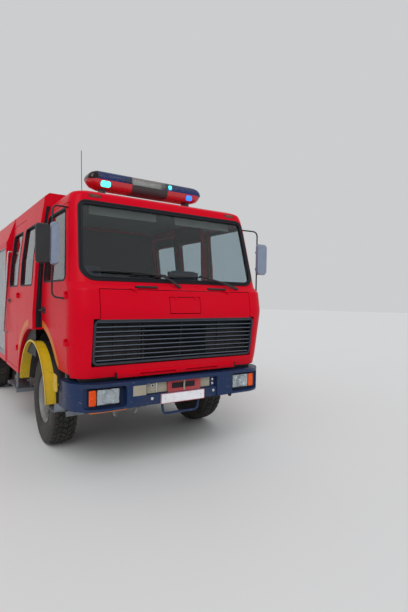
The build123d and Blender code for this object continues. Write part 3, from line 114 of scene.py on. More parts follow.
def loft(rings, capped=True):
    """Skin over rings that all have the same number of points."""
    count = len(rings[0])
    points = [p for ring in rings for p in ring]
    faces = []
    for row in range(len(rings) - 1):
        for i in range(count):
            j = (i + 1) % count
            faces.append([row * count + i, row * count + j, (row + 1) * count + j, (row + 1) * count + i])
    if capped:
        faces += [list(range(count))[::-1], list(range((len(rings) - 1) * count, len(rings) * count))]
    return points, faces


def sheet_of(rows):
    """Open sheet over rows of points."""
    wide = len(rows[0])
    points = [p for row in rows for p in row]
    faces = [[r * wide + i, r * wide + i + 1, (r + 1) * wide + i + 1, (r + 1) * wide + i]
             for r in range(len(rows) - 1) for i in range(wide - 1)]
    return points, faces


def turned(profile, centre, axis="x", steps=40, closed=False):
    """Form turned about an axis through the centre, from (along, radius) points."""
    across, up = {"x": ((0, 1, 0), (0, 0, 1)), "y": ((1, 0, 0), (0, 0, 1)), "z": ((1, 0, 0), (0, 1, 0))}[axis]
    along, across, up = Vector([float(axis == name) for name in "xyz"]), Vector(across), Vector(up)
    rings = [[tuple(Vector(centre) + along * reach + across * a + up * b) for a, b in circle(max(radius, 0.01), steps)]
             for reach, radius in profile]
    if closed:
        rings.append(rings[0])
    return loft(rings, capped=not closed)


def frames_along(points, closed):
    """Tangent at every point of a path."""
    ring = [points[-1 if closed else 0], *points, points[0 if closed else -1]]
    return [(after - before).normalized() for before, after in zip(ring, ring[2:])]


def swept(path, section, normals=None, closed=False):
    """Section of (across, out) points carried along a path; out follows the normals."""
    points = [Vector(p) for p in path]
    tangents = frames_along(points, closed)
    if normals is None:
        start = Vector((0, 0, 1)) if abs(tangents[0].z) < 0.9 else Vector((1, 0, 0))
        out = (start - tangents[0] * start.dot(tangents[0])).normalized()
        normals = []
        for tangent in tangents:
            out = (out - tangent * out.dot(tangent)).normalized()
            normals.append(out.copy())
    rings = []
    for point, tangent, normal in zip(points, tangents, normals):
        out = (Vector(normal) - tangent * Vector(normal).dot(tangent)).normalized()
        across = tangent.cross(out)
        rings.append([tuple(point + across * a + out * b) for a, b in section])
    if closed:
        rings.append(rings[0])
    return loft(rings, capped=not closed)


def circle(radius, steps=10):
    return [(radius * math.cos(2 * math.pi * i / steps), radius * math.sin(2 * math.pi * i / steps))
            for i in range(steps)]


def bent(path, radius, steps=5):
    """Path of 3-D points with its inner corners rounded."""
    points = [Vector(p) for p in path]
    result = [points[0]]
    for before, here, after in zip(points, points[1:], points[2:]):
        a, b = (before - here).normalized(), (after - here).normalized()
        reach = min(radius / math.tan(a.angle(b) / 2), (before - here).length * 0.49, (after - here).length * 0.49)
        for step in range(steps + 1):
            share = step / steps
            result.append(here + a * reach * (1 - share) ** 2 + b * reach * share ** 2)
    return result + [points[-1]]


def rod(path, radius, steps=10, corner=0.0):
    """Round bar along a path."""
    return swept(bent(path, corner) if corner else path, circle(radius, steps))


def mirrored(form):
    """The same form on the other side of the vehicle."""
    points, faces = form
    return [(-x, y, z) for x, y, z in points], [face[::-1] for face in faces]


def both_sides(forms):
    return list(forms) + [mirrored(form) for form in forms]


def grip_bar(start, end, proud, radius, steps, corner):
    """Round bar between two feet, standing proud of them."""
    start, end, proud = Vector(start), Vector(end), Vector(proud)
    return rod([start, start + proud, end + proud, end], radius, steps, corner)


both = (("left", 1), ("right", -1))
sides = (("left", lambda form: form), ("right", mirrored))


# ---------- pieces ----------
def mesh_of(name, forms, scale=0.001):
    points, faces = [], []
    for form_points, form_faces in forms:
        start = len(points)
        points += [tuple(c * scale for c in p) for p in form_points]
        faces += [[start + i for i in face] for face in form_faces]
    mesh = bpy.data.meshes.new(name)
    mesh.from_pydata(points, [], faces)
    mesh.validate()
    return mesh


def new_object(name, data):
    made = bpy.data.objects.new(name, data)
    bpy.context.scene.collection.objects.link(made)
    return made


def clean(mesh, distance, edge=0.0):
    """Join doubled points, turn the faces outwards and round the edges."""
    shape = bmesh.new()
    shape.from_mesh(mesh)
    bmesh.ops.remove_doubles(shape, verts=shape.verts, dist=distance)
    bmesh.ops.recalc_face_normals(shape, faces=shape.faces)
    if edge:
        corners = [e for e in shape.edges if len(e.link_faces) == 2 and e.calc_face_angle(0) > math.radians(38)]
        bmesh.ops.bevel(shape, geom=corners, offset=edge / 1000, segments=2, profile=0.6, affect="EDGES",
                        clamp_overlap=True)
    shape.to_mesh(mesh)
    shape.free()


def piece(name, forms, look, body="root", edge=0.0, sharp=32.0, stands_for=()):
    """One named piece of the scene, riding on a body of the frame."""
    mesh = mesh_of(name, forms)
    clean(mesh, 1e-5, edge)
    mesh.shade_smooth()
    mesh.set_sharp_from_angle(angle=math.radians(sharp))
    made = new_object(name, mesh)
    mesh.materials.append(looks[look])
    if edge:
        made.modifiers.new("even_faces", "WEIGHTED_NORMAL").keep_sharp = True
    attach(made, body)
    if stands_for:
        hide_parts(*stands_for)
    return made


def solid(forms):
    """Loose mesh object used to cut shapes."""
    mesh = mesh_of("working", forms, 1.0)
    clean(mesh, 1e-4)
    return new_object("working", mesh)


def combined(body, *steps):
    """Form left after a row of (operation, forms) steps on a form."""
    base = solid([body])
    for operation, forms in steps:
        for form in forms:
            tool = solid([form])
            step = base.modifiers.new("step", "BOOLEAN")
            step.operation, step.object, step.solver = operation, tool, "EXACT"
            bpy.context.view_layer.update()
            result = bpy.data.meshes.new_from_object(base.evaluated_get(bpy.context.evaluated_depsgraph_get()))
            base.modifiers.clear()
            base.data = result
            bpy.data.objects.remove(tool)
    points = [tuple(v.co) for v in base.data.vertices]
    faces = [list(p.vertices) for p in base.data.polygons]
    bpy.data.objects.remove(base)
    return points, faces


# ---------- finishes ----------
def tone(red, green, blue):
    """Colour as it is seen, 0 to 255, turned into the linear values that shaders use."""
    line = [c / 255 / 12.92 if c <= 10 else ((c / 255 + 0.055) / 1.055) ** 2.4 for c in (red, green, blue)]
    return (*line, 1.0)


def new_group(name, inputs, outputs):
    """Shader node group with inputs and their values, and outputs by name."""
    tree = bpy.data.node_groups.new(name, "ShaderNodeTree")
    kinds = {1: "NodeSocketFloat", 3: "NodeSocketVector", 4: "NodeSocketColor"}
    for label, value in inputs.items():
        kind = kinds[len(value) if isinstance(value, tuple) else 1]
        tree.interface.new_socket(name=label, in_out="INPUT", socket_type=kind).default_value = value
    for label in outputs:
        tree.interface.new_socket(name=label, in_out="OUTPUT", socket_type=kinds[4 if label == "Colour" else 1])
    return tree, tree.nodes.new("NodeGroupInput").outputs, tree.nodes.new("NodeGroupOutput").inputs


def feed(tree, target, source):
    if isinstance(source, bpy.types.NodeSocket):
        tree.links.new(source, target)
    else:
        target.default_value = source


def fill(tree, sockets, **values):
    """Feed several sockets by name, with an underscore for each space."""
    for name, value in values.items():
        feed(tree, sockets[name.replace("_", " ")], value)


def math_node(tree, operation, a, b=0.0, clamp=False):
    made = tree.nodes.new("ShaderNodeMath")
    made.operation, made.use_clamp = operation, clamp
    feed(tree, made.inputs[0], a)
    feed(tree, made.inputs[1], b)
    return made.outputs[0]


def times(tree, a, b):
    return math_node(tree, "MULTIPLY", a, b)


def plus(tree, a, b):
    return math_node(tree, "ADD", a, b)


def waves(tree, run, pitch):
    """Sine wave along a run, one turn to each pitch."""
    return math_node(tree, "SINE", times(tree, math_node(tree, "DIVIDE", run, pitch), 2 * math.pi))


def spread(tree, value, low, high, to_low=0.0, to_high=1.0):
    made = tree.nodes.new("ShaderNodeMapRange")
    fill(tree, made.inputs, Value=value, From_Min=low, From_Max=high, To_Min=to_low, To_Max=to_high)
    return made.outputs["Result"]


def blended(tree, share, first, second):
    made = tree.nodes.new("ShaderNodeMix")
    made.data_type = "RGBA"
    for place, source in ((0, share), (6, first), (7, second)):
        feed(tree, made.inputs[place], source)
    return made.outputs[2]


def noise(tree, place, scale, detail=4.0, roughness=0.55, distortion=0.0):
    made = tree.nodes.new("ShaderNodeTexNoise")
    fill(tree, made.inputs, Vector=place, Scale=scale, Detail=detail, Roughness=roughness, Distortion=distortion)
    return made.outputs["Fac"]


def object_place(tree):
    return tree.nodes.new("ShaderNodeTexCoord").outputs["Object"]


def stretched(tree, place, scale):
    made = tree.nodes.new("ShaderNodeMapping")
    fill(tree, made.inputs, Vector=place, Scale=scale)
    return made.outputs["Vector"]


def axes(tree, place):
    """X, Y and Z of a place, by name."""
    made = tree.nodes.new("ShaderNodeSeparateXYZ")
    tree.links.new(place, made.inputs[0])
    return made.outputs


def make_weathered():
    """Patches of tone, and road dust that thickens towards the ground."""
    tree, given, result = new_group("weathered", {
        "Colour": (0.5, 0.5, 0.5, 1), "Dust Colour": (0.3, 0.27, 0.23, 1), "Dust": 0.2, "Patches": 0.2, "Scale": 3.0,
    }, ("Colour", "Roughness", "Dust"))
    place = object_place(tree)
    broad = spread(tree, noise(tree, place, given["Scale"], 5.0), 0.42, 0.68)
    fine = spread(tree, noise(tree, place, 34.0, 6.0, 0.65), 0.35, 0.75)
    low = spread(tree, axes(tree, place)["Z"], 0.25, 1.5, 1.0, 0.12)
    dust = math_node(tree, "MULTIPLY", times(tree, low, given["Dust"]),
                     plus(tree, times(tree, fine, 0.7), broad), clamp=True)
    darker = tree.nodes.new("ShaderNodeHueSaturation")
    fill(tree, darker.inputs, Value=0.62, Saturation=0.94, Color=given["Colour"])
    patched = blended(tree, times(tree, broad, given["Patches"]), given["Colour"], darker.outputs["Color"])
    fill(tree, result, Colour=blended(tree, dust, patched, given["Dust Colour"]),
         Roughness=plus(tree, times(tree, fine, 0.1), times(tree, dust, 0.45)), Dust=dust)
    return tree


def make_scuffed():
    """Scrapes and chips: long marks along the vehicle's sides and small spots."""
    tree, given, result = new_group("scuffed", {"Amount": 0.3, "Scale": 5.0}, ("Mask", "Height"))
    place = object_place(tree)
    streaks = noise(tree, stretched(tree, place, (0.8, 0.8, 7.0)), given["Scale"], 8.0, 0.7, 0.6)
    chips = noise(tree, place, times(tree, given["Scale"], 9.0), 3.0, 0.6)
    edge = math_node(tree, "SUBTRACT", 0.72, times(tree, given["Amount"], 0.22))
    marks = spread(tree, streaks, edge, plus(tree, edge, 0.05))
    spots = spread(tree, chips, plus(tree, edge, 0.03), plus(tree, edge, 0.06))
    mask = math_node(tree, "MAXIMUM", marks, spots)
    fill(tree, result, Mask=mask, Height=times(tree, mask, -1.0))
    return tree


def make_grained():
    """Fine even grain of mouldings, castings, rubber and cloth-like covers."""
    tree, given, result = new_group("grained", {"Scale": 300.0}, ("Height",))
    place = object_place(tree)
    cells = tree.nodes.new("ShaderNodeTexVoronoi")
    fill(tree, cells.inputs, Vector=place, Scale=given["Scale"])
    soft = noise(tree, place, given["Scale"], 3.0)
    fill(tree, result, Height=plus(tree, times(tree, cells.outputs["Distance"], 0.6), soft))
    return tree


def make_ribbed():
    """Parallel ribs across one direction, a pitch apart in metres."""
    tree, given, result = new_group("ribbed", {"Direction": (1, 0, 0), "Pitch": 0.012}, ("Height",))
    product = tree.nodes.new("ShaderNodeVectorMath")
    product.operation = "DOT_PRODUCT"
    feed(tree, product.inputs[0], object_place(tree))
    feed(tree, product.inputs[1], given["Direction"])
    fill(tree, result, Height=waves(tree, product.outputs["Value"], given["Pitch"]))
    return tree


def make_chequered():
    """Raised lozenges of tread plate, seen from above."""
    tree, given, result = new_group("chequered", {"Pitch": 0.03}, ("Height",))
    run = axes(tree, object_place(tree))
    slants = [waves(tree, math_node(tree, sign, run["X"], run["Y"]), given["Pitch"]) for sign in ("ADD", "SUBTRACT")]
    fill(tree, result, Height=spread(tree, math_node(tree, "ABSOLUTE", times(tree, *slants)), 0.45, 0.8))
    return tree


def make_woven():
    """Over and under threads of a seat cloth."""
    tree, given, result = new_group("woven", {"Pitch": 0.004}, ("Height",))
    run = axes(tree, object_place(tree))
    threads = [waves(tree, along, given["Pitch"]) for along in (run["X"], plus(tree, run["Y"], run["Z"]))]
    fill(tree, result, Height=times(tree, *threads))
    return tree


groups = {tree.name: tree for tree in (make_weathered(), make_scuffed(), make_grained(), make_ribbed(),
                                       make_chequered(), make_woven())}


def placed(tree, group, **values):
    made = tree.nodes.new("ShaderNodeGroup")
    made.node_tree = groups[group]
    fill(tree, made.inputs, **values)
    return made.outputs


def bumped(tree, shader, heights, layers):
    """Feed the shader's normal from (height, depth in metres) bumps, one over the other."""
    normal = None
    heights += [(placed(tree, group, **values)["Height"], depth) for group, depth, values in layers]
    for height, depth in heights:
        bump = tree.nodes.new("ShaderNodeBump")
        fill(tree, bump.inputs, Strength=1.0, Distance=depth, Height=height)
        if normal:
            tree.links.new(normal, bump.inputs["Normal"])
        normal = bump.outputs["Normal"]
    if normal:
        tree.links.new(normal, shader.inputs["Normal"])


def new_finish():
    made = bpy.data.materials.new("finish")
    made.use_nodes = True
    return made, made.node_tree, made.node_tree.nodes["Principled BSDF"]


def surface(colour, roughness, metallic=0.0, coat=0.0, dust=0.2, patches=0.2, patch_scale=3.0, grain=0.0001,
            grain_scale=300.0, scuffs=0.0, scuff_scale=5.0, under=(120, 118, 116), layers=(), **more):
    """Opaque finish with dust, patches, grain and scuffs that show what is under it."""
    made, tree, shader = new_finish()
    weather = placed(tree, "weathered", Colour=tone(*colour), Dust=dust, Patches=patches, Scale=patch_scale,
                     Dust_Colour=tone(128, 118, 104))
    shade = weather["Colour"]
    heights = [(placed(tree, "grained", Scale=grain_scale)["Height"], grain)]
    if scuffs:
        marks = placed(tree, "scuffed", Amount=scuffs, Scale=scuff_scale)
        shade = blended(tree, marks["Mask"], shade, tone(*under))
        heights.append((marks["Height"], 0.0004))
    fill(tree, shader.inputs, Base_Color=shade, Roughness=plus(tree, weather["Roughness"], roughness),
         Metallic=metallic, Coat_Weight=coat, Coat_Roughness=0.06, **more)
    bumped(tree, shader, heights, layers)
    return made


def clear_finish(colour, roughness=0.02, layers=(), **more):
    """See-through glass or plastic that lets the lamps' light in."""
    made, tree, shader = new_finish()
    weather = placed(tree, "weathered", Colour=tone(*colour), Dust=0.05, Patches=0.05, Scale=2.0)
    fill(tree, shader.inputs, Base_Color=weather["Colour"], Transmission_Weight=1.0, IOR=1.45,
         Roughness=plus(tree, times(tree, weather["Roughness"], 0.25), roughness), **more)
    bumped(tree, shader, [], layers)
    see_through = tree.nodes.new("ShaderNodeBsdfTransparent")
    see_through.inputs["Color"].default_value = tone(*colour)
    path = tree.nodes.new("ShaderNodeLightPath").outputs
    mixed = tree.nodes.new("ShaderNodeMixShader")
    for place, source in enumerate((math_node(tree, "MAXIMUM", path["Is Shadow Ray"], path["Is Diffuse Ray"]),
                                    shader.outputs[0], see_through.outputs[0])):
        tree.links.new(source, mixed.inputs[place])
    tree.links.new(mixed.outputs[0], tree.nodes["Material Output"].inputs["Surface"])
    return made


def ribs(depth, direction, pitch):
    return "ribbed", depth, {"Direction": direction, "Pitch": pitch}


def lit(colour, strength):
    """Shader inputs of a plastic that gives off some light."""
    return {"Emission_Color": tone(*colour), "Emission_Strength": strength}


across, upright = (1, 0, 0), (0, 0, 1)
looks = {}


def finish(make):
    """Build the finish that a function describes and keep it under the function's name."""
    looks[make.__name__] = make()
    looks[make.__name__].name = make.__name__
    return make


@finish
def red_paint():
    return surface((204, 3, 32), 0.27, coat=0.03, dust=0.04, patches=0.1, patch_scale=1.6, grain=0.00002,
                   grain_scale=60.0, Specular_IOR_Level=0.05)


@finish
def navy_bumper():
    return surface((11, 40, 80), 0.36, coat=0.1, dust=0.07, patches=0.35, patch_scale=4.0, scuffs=0.36,
                   scuff_scale=4.0, under=(92, 92, 118), Specular_IOR_Level=0.25)


@finish
def grille_grey():
    return surface((30, 37, 50), 0.36, dust=0.15, patches=0.3, patch_scale=7.0)


@finish
def slat_edge_grey():
    return surface((104, 112, 126), 0.35, metallic=0.4, dust=0.1, patches=0.4, patch_scale=9.0)


@finish
def frame_black():
    return surface((30, 30, 32), 0.45, dust=0.55, patches=0.3, patch_scale=4.0, grain=0.0002, scuffs=0.3,
                   under=(86, 62, 48))


@finish
def cast_black():
    return surface((36, 36, 38), 0.55, metallic=0.3, dust=0.6, patches=0.4, grain=0.0006, grain_scale=140.0,
                   scuffs=0.3, under=(90, 66, 52))


@finish
def engine_grey():
    return surface((78, 84, 88), 0.5, metallic=0.2, dust=0.5, patches=0.6, patch_scale=6.0, grain=0.0006,
                   grain_scale=120.0)


@finish
def gasket_rubber():
    return surface((20, 22, 30), 0.5, dust=0.06, patch_scale=5.0, grain=0.0002, Specular_IOR_Level=0.25)


@finish
def black_plastic():
    return surface((27, 28, 32), 0.4, dust=0.16, grain=0.0003, grain_scale=420.0)


@finish
def pale_shell():
    return surface((126, 138, 160), 0.3, coat=0.2, dust=0.15, patches=0.3, patch_scale=8.0)


@finish
def yellow_paint():
    return surface((214, 176, 10), 0.36, coat=0.05, dust=0.16, patches=0.35, patch_scale=5.0, scuffs=0.4,
                   scuff_scale=6.0, under=(96, 84, 48))


@finish
def orange_paint():
    return surface((206, 108, 12), 0.4, dust=0.1, patches=0.35, patch_scale=5.0, scuffs=0.3, scuff_scale=7.0,
                   under=(120, 70, 40))


@finish
def tyre_rubber():
    return surface((23, 24, 26), 0.66, dust=0.16, patches=0.3, patch_scale=5.0, grain=0.0005, grain_scale=260.0)


@finish
def rim_grey():
    return surface((132, 134, 138), 0.38, metallic=0.35, dust=0.5, patches=0.35, patch_scale=8.0, scuffs=0.3,
                   under=(92, 76, 66))


@finish
def hub_grey():
    return surface((112, 114, 118), 0.34, metallic=0.6, dust=0.5, patches=0.4, patch_scale=9.0, scuffs=0.3,
                   under=(88, 70, 58))


@finish
def tread_plate():
    return surface((136, 146, 158), 0.34, metallic=0.85, dust=0.45, patches=0.4, patch_scale=8.0, scuffs=0.35,
                   under=(92, 98, 108), layers=[("chequered", 0.002, {"Pitch": 0.036})])


@finish
def shutter_metal():
    return surface((176, 180, 184), 0.32, metallic=0.9, dust=0.25, patches=0.3, patch_scale=5.0, grain=0.00008,
                   grain_scale=500.0)


@finish
def cabin_plastic():
    return surface((58, 58, 62), 0.5, dust=0.0, patches=0.25, grain=0.0004)


@finish
def lining_black():
    return surface((34, 34, 38), 0.6, dust=0.0, patches=0.25, grain=0.0004)


@finish
def headliner_cloth():
    return surface((164, 154, 138), 0.8, dust=0.0, patches=0.25, grain=0.0006, grain_scale=240.0)


@finish
def seat_cloth():
    return surface((58, 64, 82), 0.82, dust=0.0, patches=0.3, patch_scale=9.0, grain=0.0003,
                   layers=[("woven", 0.0006, {"Pitch": 0.005})], Sheen_Weight=0.3)


@finish
def exhaust_steel():
    return surface((122, 112, 104), 0.5, metallic=0.7, dust=0.5, patches=0.7, patch_scale=7.0, scuffs=0.5,
                   under=(122, 74, 48))


@finish
def pump_metal():
    return surface((172, 170, 164), 0.34, metallic=0.85, dust=0.1, patches=0.3, patch_scale=9.0)


@finish
def ladder_metal():
    return surface((182, 185, 188), 0.3, metallic=0.9, patches=0.35, patch_scale=9.0,
                   layers=[ribs(0.0004, upright, 0.012)])


@finish
def bright_steel():
    return surface((214, 216, 220), 0.14, metallic=1.0, dust=0.1, patch_scale=9.0, grain=0.00002)


@finish
def mirror_silver():
    return surface((214, 218, 222), 0.03, metallic=1.0, dust=0.04, patches=0.05, grain=0.000002)


@finish
def radiator_fins():
    return surface((24, 26, 30), 0.5, metallic=0.4, dust=0.3, patches=0.3, layers=[ribs(0.001, upright, 0.004)])


@finish
def beige_plate():
    return surface((158, 150, 134), 0.5, dust=0.25, patches=0.5, patch_scale=9.0, scuffs=0.35, under=(108, 100, 92))


@finish
def white_plate():
    return surface((232, 232, 238), 0.3, coat=0.3, dust=0.22, patches=0.1, patch_scale=8.0)


@finish
def dial_face():
    return surface((226, 226, 220), 0.4, dust=0.0, patches=0.1)


@finish
def jaw_red():
    return surface((168, 46, 56), 0.4, dust=0.25, patches=0.5, patch_scale=9.0, scuffs=0.4, under=(96, 60, 62))


@finish
def bar_red():
    return surface((196, 26, 40), 0.22, coat=0.4, dust=0.12)


@finish
def bar_grey():
    return surface((58, 54, 58), 0.32, dust=0.15, patches=0.35, patch_scale=8.0)


@finish
def lit_cyan():
    return surface((70, 226, 214), 0.2, dust=0.0, patches=0.1, **lit((70, 226, 214), 2.2))


@finish
def lit_blue():
    return surface((40, 110, 220), 0.2, dust=0.0, patches=0.1, **lit((40, 110, 220), 1.6))


@finish
def window_glass():
    return clear_finish((206, 218, 222))


@finish
def lamp_glass():
    return clear_finish((232, 238, 240), 0.03, [ribs(0.0003, across, 0.018)])


@finish
def orange_lens():
    return clear_finish((255, 132, 20), 0.08, [ribs(0.0012, upright, 0.008)], **lit((255, 112, 10), 0.18))


@finish
def red_lens():
    return clear_finish((214, 20, 24), 0.08, [ribs(0.0012, upright, 0.008)], **lit((200, 8, 10), 0.15))


@finish
def clear_lens():
    return clear_finish((226, 236, 230), 0.08, [ribs(0.001, across, 0.009)])


@finish
def marker_lens():
    return clear_finish((226, 214, 178), 0.1, [ribs(0.001, across, 0.008)], **lit((150, 132, 90), 0.1))


@finish
def blue_lens():
    return clear_finish((0, 88, 160), 0.06, [ribs(0.0012, across, 0.016)], **lit((0, 40, 100), 0.08))


# Dark red of the light bar's right end cap: painted shade, giving the cap the darkness of an end in shadow.
@finish
def shaded_end_lens():
    return clear_finish((92, 28, 30), 0.08)


@finish
def bar_clear_lens():
    return clear_finish((222, 224, 220), 0.1, [ribs(0.002, across, 0.022)])


# the finish that each CAD node which stays in sight takes
kept_nodes = {
    "grille_grey": "grille", "navy_bumper": "bumper", "engine_grey": "powertrain", "exhaust_steel": "exhaust",
    "red_paint": "lower_panel crew_sides crew_roof crew_rear_wall crew_door_left crew_door_right body_core "
                 "body_sides body_roof rear_flap",
    "window_glass": "door_glass_left door_glass_right crew_glass_left crew_glass_right crew_windows",
    "cabin_plastic": "cab_floor dashboard", "black_plastic": "steering_wheel",
    "frame_black": "chassis_frame leaf_springs fuel_tank",
    "cast_black": "front_axle rear_axle knuckle_left knuckle_right",
    "tread_plate": "steps rear_step", "pump_metal": "pump_unit", "ladder_metal": "roof_ladder",
}


# ---------- camera, light and floor ----------
def add_camera():
    """Camera at the photo's viewpoint, near the front right corner at eye height."""
    yaw, pitch, roll = (math.radians(angle) for angle in (33.85, -1.22, 1.02))
    ahead = Vector((math.sin(yaw) * math.cos(pitch), math.cos(yaw) * math.cos(pitch), math.sin(pitch)))
    level = Vector((math.cos(yaw), -math.sin(yaw), 0))
    upright = level.cross(ahead)
    right = level * math.cos(roll) + upright * math.sin(roll)
    up = upright * math.cos(roll) - level * math.sin(roll)
    eye = new_object("eye", bpy.data.cameras.new("eye"))
    eye.data.lens = 24.53
    eye.data.clip_end = 400
    place = Matrix((right, up, -ahead)).transposed().to_4x4()
    place.translation = Vector((-2.257, -7.415, 1.735))
    eye.matrix_world = place
    bpy.context.scene.camera = eye


def add_sun(name, towards, strength, angle):
    sun = new_object(name, bpy.data.lights.new(name, "SUN"))
    sun.data.energy, sun.data.angle = strength, angle
    sun.rotation_euler = Vector(towards).to_track_quat("-Z", "Y").to_euler()


def add_world(light, seen):
    """Even sky: one level lights the object, the other is what is seen and mirrored."""
    world = bpy.data.worlds.new("studio")
    bpy.context.scene.world = world
    world.use_nodes = True
    tree = world.node_tree
    tree.nodes.clear()
    path = tree.nodes.new("ShaderNodeLightPath")
    seen_rays = math_node(tree, "MAXIMUM", path.outputs["Is Camera Ray"], math_node(
        tree, "MAXIMUM", path.outputs["Is Glossy Ray"], path.outputs["Is Transmission Ray"]))
    sky = tree.nodes.new("ShaderNodeBackground")
    sky.inputs["Color"].default_value = (0.97, 0.985, 1.0, 1)
    tree.links.new(spread(tree, seen_rays, 0.0, 1.0, light, seen), sky.inputs["Strength"])
    tree.links.new(sky.outputs[0], tree.nodes.new("ShaderNodeOutputWorld").inputs["Surface"])


@finish
def studio_floor():
    return surface((220.585,) * 3, 0.55, dust=0.0, patches=0.02, patch_scale=0.4)


def add_floor():
    rings = [[(x, y, 0) for x, y in circle(radius, 96)] for radius in (100, 4000, 9000, 60000)]
    mesh = mesh_of("studio_floor", [loft(rings, capped=False), (rings[0], [list(range(96))])])
    mesh.materials.append(looks["studio_floor"])
    new_object("studio_floor", mesh)


def set_stage():
    bpy.context.scene.view_settings.view_transform = "Standard"
    add_camera()
    add_world(0.70, 0.62)
    add_sun("key", (0.55, 0.75, -0.85), 1.15, 0.7)
    add_floor()


set_stage()


# ---------- cab skin ----------
skirt_z, eave_z, cab_rear, cab_wall = 950, 2690, 1250, 40
cab_folds = (
    # height, half width, station of the face, corner radius, reach of the rounded fold
    (890, 1112, 112, 190, 0), (1060, 1140, 86, 200, 60), (1580, 1158, 20, 200, 45),
    (1800, 1152, 62, 190, 22), (1862, 1150, 145, 190, 16), (2560, 1104, 345, 140, 100),
    (2690, 1080, 385, 120, 50), (2762, 1050, 408, 110, 36), (2798, 950, 485, 90, 60), (2798, 700, 760, 60, 0),
)


def cab_levels(inset, steps=6):
    """Rows of (height, half width, station, radius) up the cab, its folds rounded."""
    rows = [Vector((z - inset if z > eave_z else z, half - inset, nose + inset, radius - inset))
            for z, half, nose, radius, reach in cab_folds]
    levels = [rows[0]]
    for before, here, after, fold in zip(rows, rows[1:], rows[2:], cab_folds[1:]):
        back, on = ((end - here) * min(fold[4] / (end - here).length, 0.48) for end in (before, after))
        levels += [here + back * (1 - t) ** 2 + on * t ** 2 for t in (i / steps for i in range(steps + 1))]
    return levels + [rows[-1]]


def level_at(levels, z):
    """Half width, station and radius of the cab at a height."""
    for low, high in zip(levels, levels[1:]):
        if low[0] <= z <= high[0] and high[0] > low[0]:
            return (low + (high - low) * ((z - low[0]) / (high[0] - low[0])))[1:]
    return (levels[0] if z < levels[0][0] else levels[-1])[1:]


def cab_form(inset, past=0, corner_steps=14):
    """The cab's closed form, drawn in by inset; past carries it beyond the open bottom and rear."""
    rings = []
    levels = cab_levels(inset)
    levels[0] = levels[0] - Vector((past, 0, 0, 0))
    for z, half, nose, radius in levels:
        left = [(half - radius + radius * math.sin(t), at(nose + radius) - radius * math.cos(t), z)
                for t in (math.pi / 2 * i / corner_steps for i in range(corner_steps + 1))]
        left.append((half, at(cab_rear + past), z))
        rings.append(left + [(-x, y, z) for x, y, z in reversed(left)])
    return loft(rings)


skin_levels = cab_levels(0)


def in_skin(x, y, z):
    half, nose, radius = level_at(skin_levels, z)
    over_x, over_y = abs(x) - (half - radius), at(nose + radius) - y
    if over_x > 0 and over_y > 0:
        return math.hypot(over_x, over_y) <= radius
    return over_x <= radius and over_y <= radius


def side_x(z):
    """How far out the cab's side is at a height."""
    return level_at(skin_levels, z)[0]


def nose_at(z):
    """Station of the cab's front at a height."""
    return level_at(skin_levels, z)[1]


# the windscreen's plane, from its foot to the eave
screen_near, screen_far, screen_low_z = 145, 385, 1862
screen_length = math.hypot(screen_far - screen_near, eave_z - screen_low_z)
screen_up = Vector((0, screen_far - screen_near, eave_z - screen_low_z)).normalized()
screen_out = Vector((0, -screen_up.z, screen_up.y))
screen_foot = Vector((0, at(screen_near), screen_low_z))


def on_screen(x, up, proud=0.0):
    """Point on the cab's skin straight behind a place on the windscreen's plane."""
    place = screen_foot + Vector((x, 0, 0)) + screen_up * up
    near, far = 40.0, -200.0
    for _ in range(26):
        middle = (near + far) / 2
        if in_skin(*(place + screen_out * middle)):
            far = middle
        else:
            near = middle
    return place + screen_out * (far + proud)


def screen_normal(x, up):
    across = on_screen(x + 6, up) - on_screen(x - 6, up)
    along = on_screen(x, up + 6) - on_screen(x, up - 6)
    return across.cross(along).normalized()


def screen_outline(inset, steps=8):
    corners = [(inset - 1058, inset + 14), (1058 - inset, inset + 14), (1018 - inset, screen_length - inset - 14),
               (inset - 1018, screen_length - inset - 14)]
    return rounded(corners, [150 - inset, 150 - inset, 90 - inset, 90 - inset], steps)


def divided(outline, pitch):
    """Closed outline with its long sides divided into even runs."""
    result = []
    for here, after in zip(outline, outline[1:] + outline[:1]):
        start, end = Vector(here), Vector(after)
        count = max(1, round((end - start).length / pitch))
        result += [tuple(start + (end - start) * (i / count)) for i in range(count)]
    return result


def width_at(outline, level):
    """Furthest reach to the side of an outline at a height."""
    return max(a + (b - a) * ((level - c) / (d - c)) for (a, c), (b, d) in zip(outline, outline[1:] + outline[:1])
               if c != d and min(c, d) <= level <= max(c, d))


def slab(front, back):
    """Closed form between two sheets of rows with the same number of points."""
    tall, wide = len(front), len(front[0])
    points = [p for row in [*front, *back] for p in row]
    half = tall * wide
    faces = []
    for a in (r * wide + i for r in range(tall - 1) for i in range(wide - 1)):
        faces += [[a, a + 1, a + wide + 1, a + wide], [half + a, half + a + wide, half + a + wide + 1, half + a + 1]]
    rim = [*range(wide), *range(2 * wide - 1, half, wide), *range(half - 2, half - wide - 1, -1),
           *range(half - 2 * wide, 0, -wide)]
    faces += [[a, half + a, half + b, b] for a, b in zip(rim, rim[1:] + rim[:1])]
    return points, faces


def screen_prism():
    return loft([[tuple(screen_foot + Vector((x, 0, 0)) + screen_up * u + screen_out * reach)
                  for x, u in screen_outline(0)] for reach in (-160, 70)])


pillar_bend_z, door_front, door_rear, door_low_z, door_top_z, pillar_top = 1850, 250, 1225, 978, 2640, 443


def door_edge(z):
    share = max(0.0, (z - pillar_bend_z) / (door_top_z - pillar_bend_z))
    return door_front + share * (pillar_top - door_front)


def upright_hinge(x, station, low_z, side):
    barrel = turned([(0, 0), (0, 9), (1, 10), (33, 10), (34, 9), (34, 0)], (x, at(station), low_z), "z", 20)
    arm = block((x - 30, x + 4), sorted((station, station + side * 33)), (low_z + 1, low_z + 33))
    return [barrel, arm]


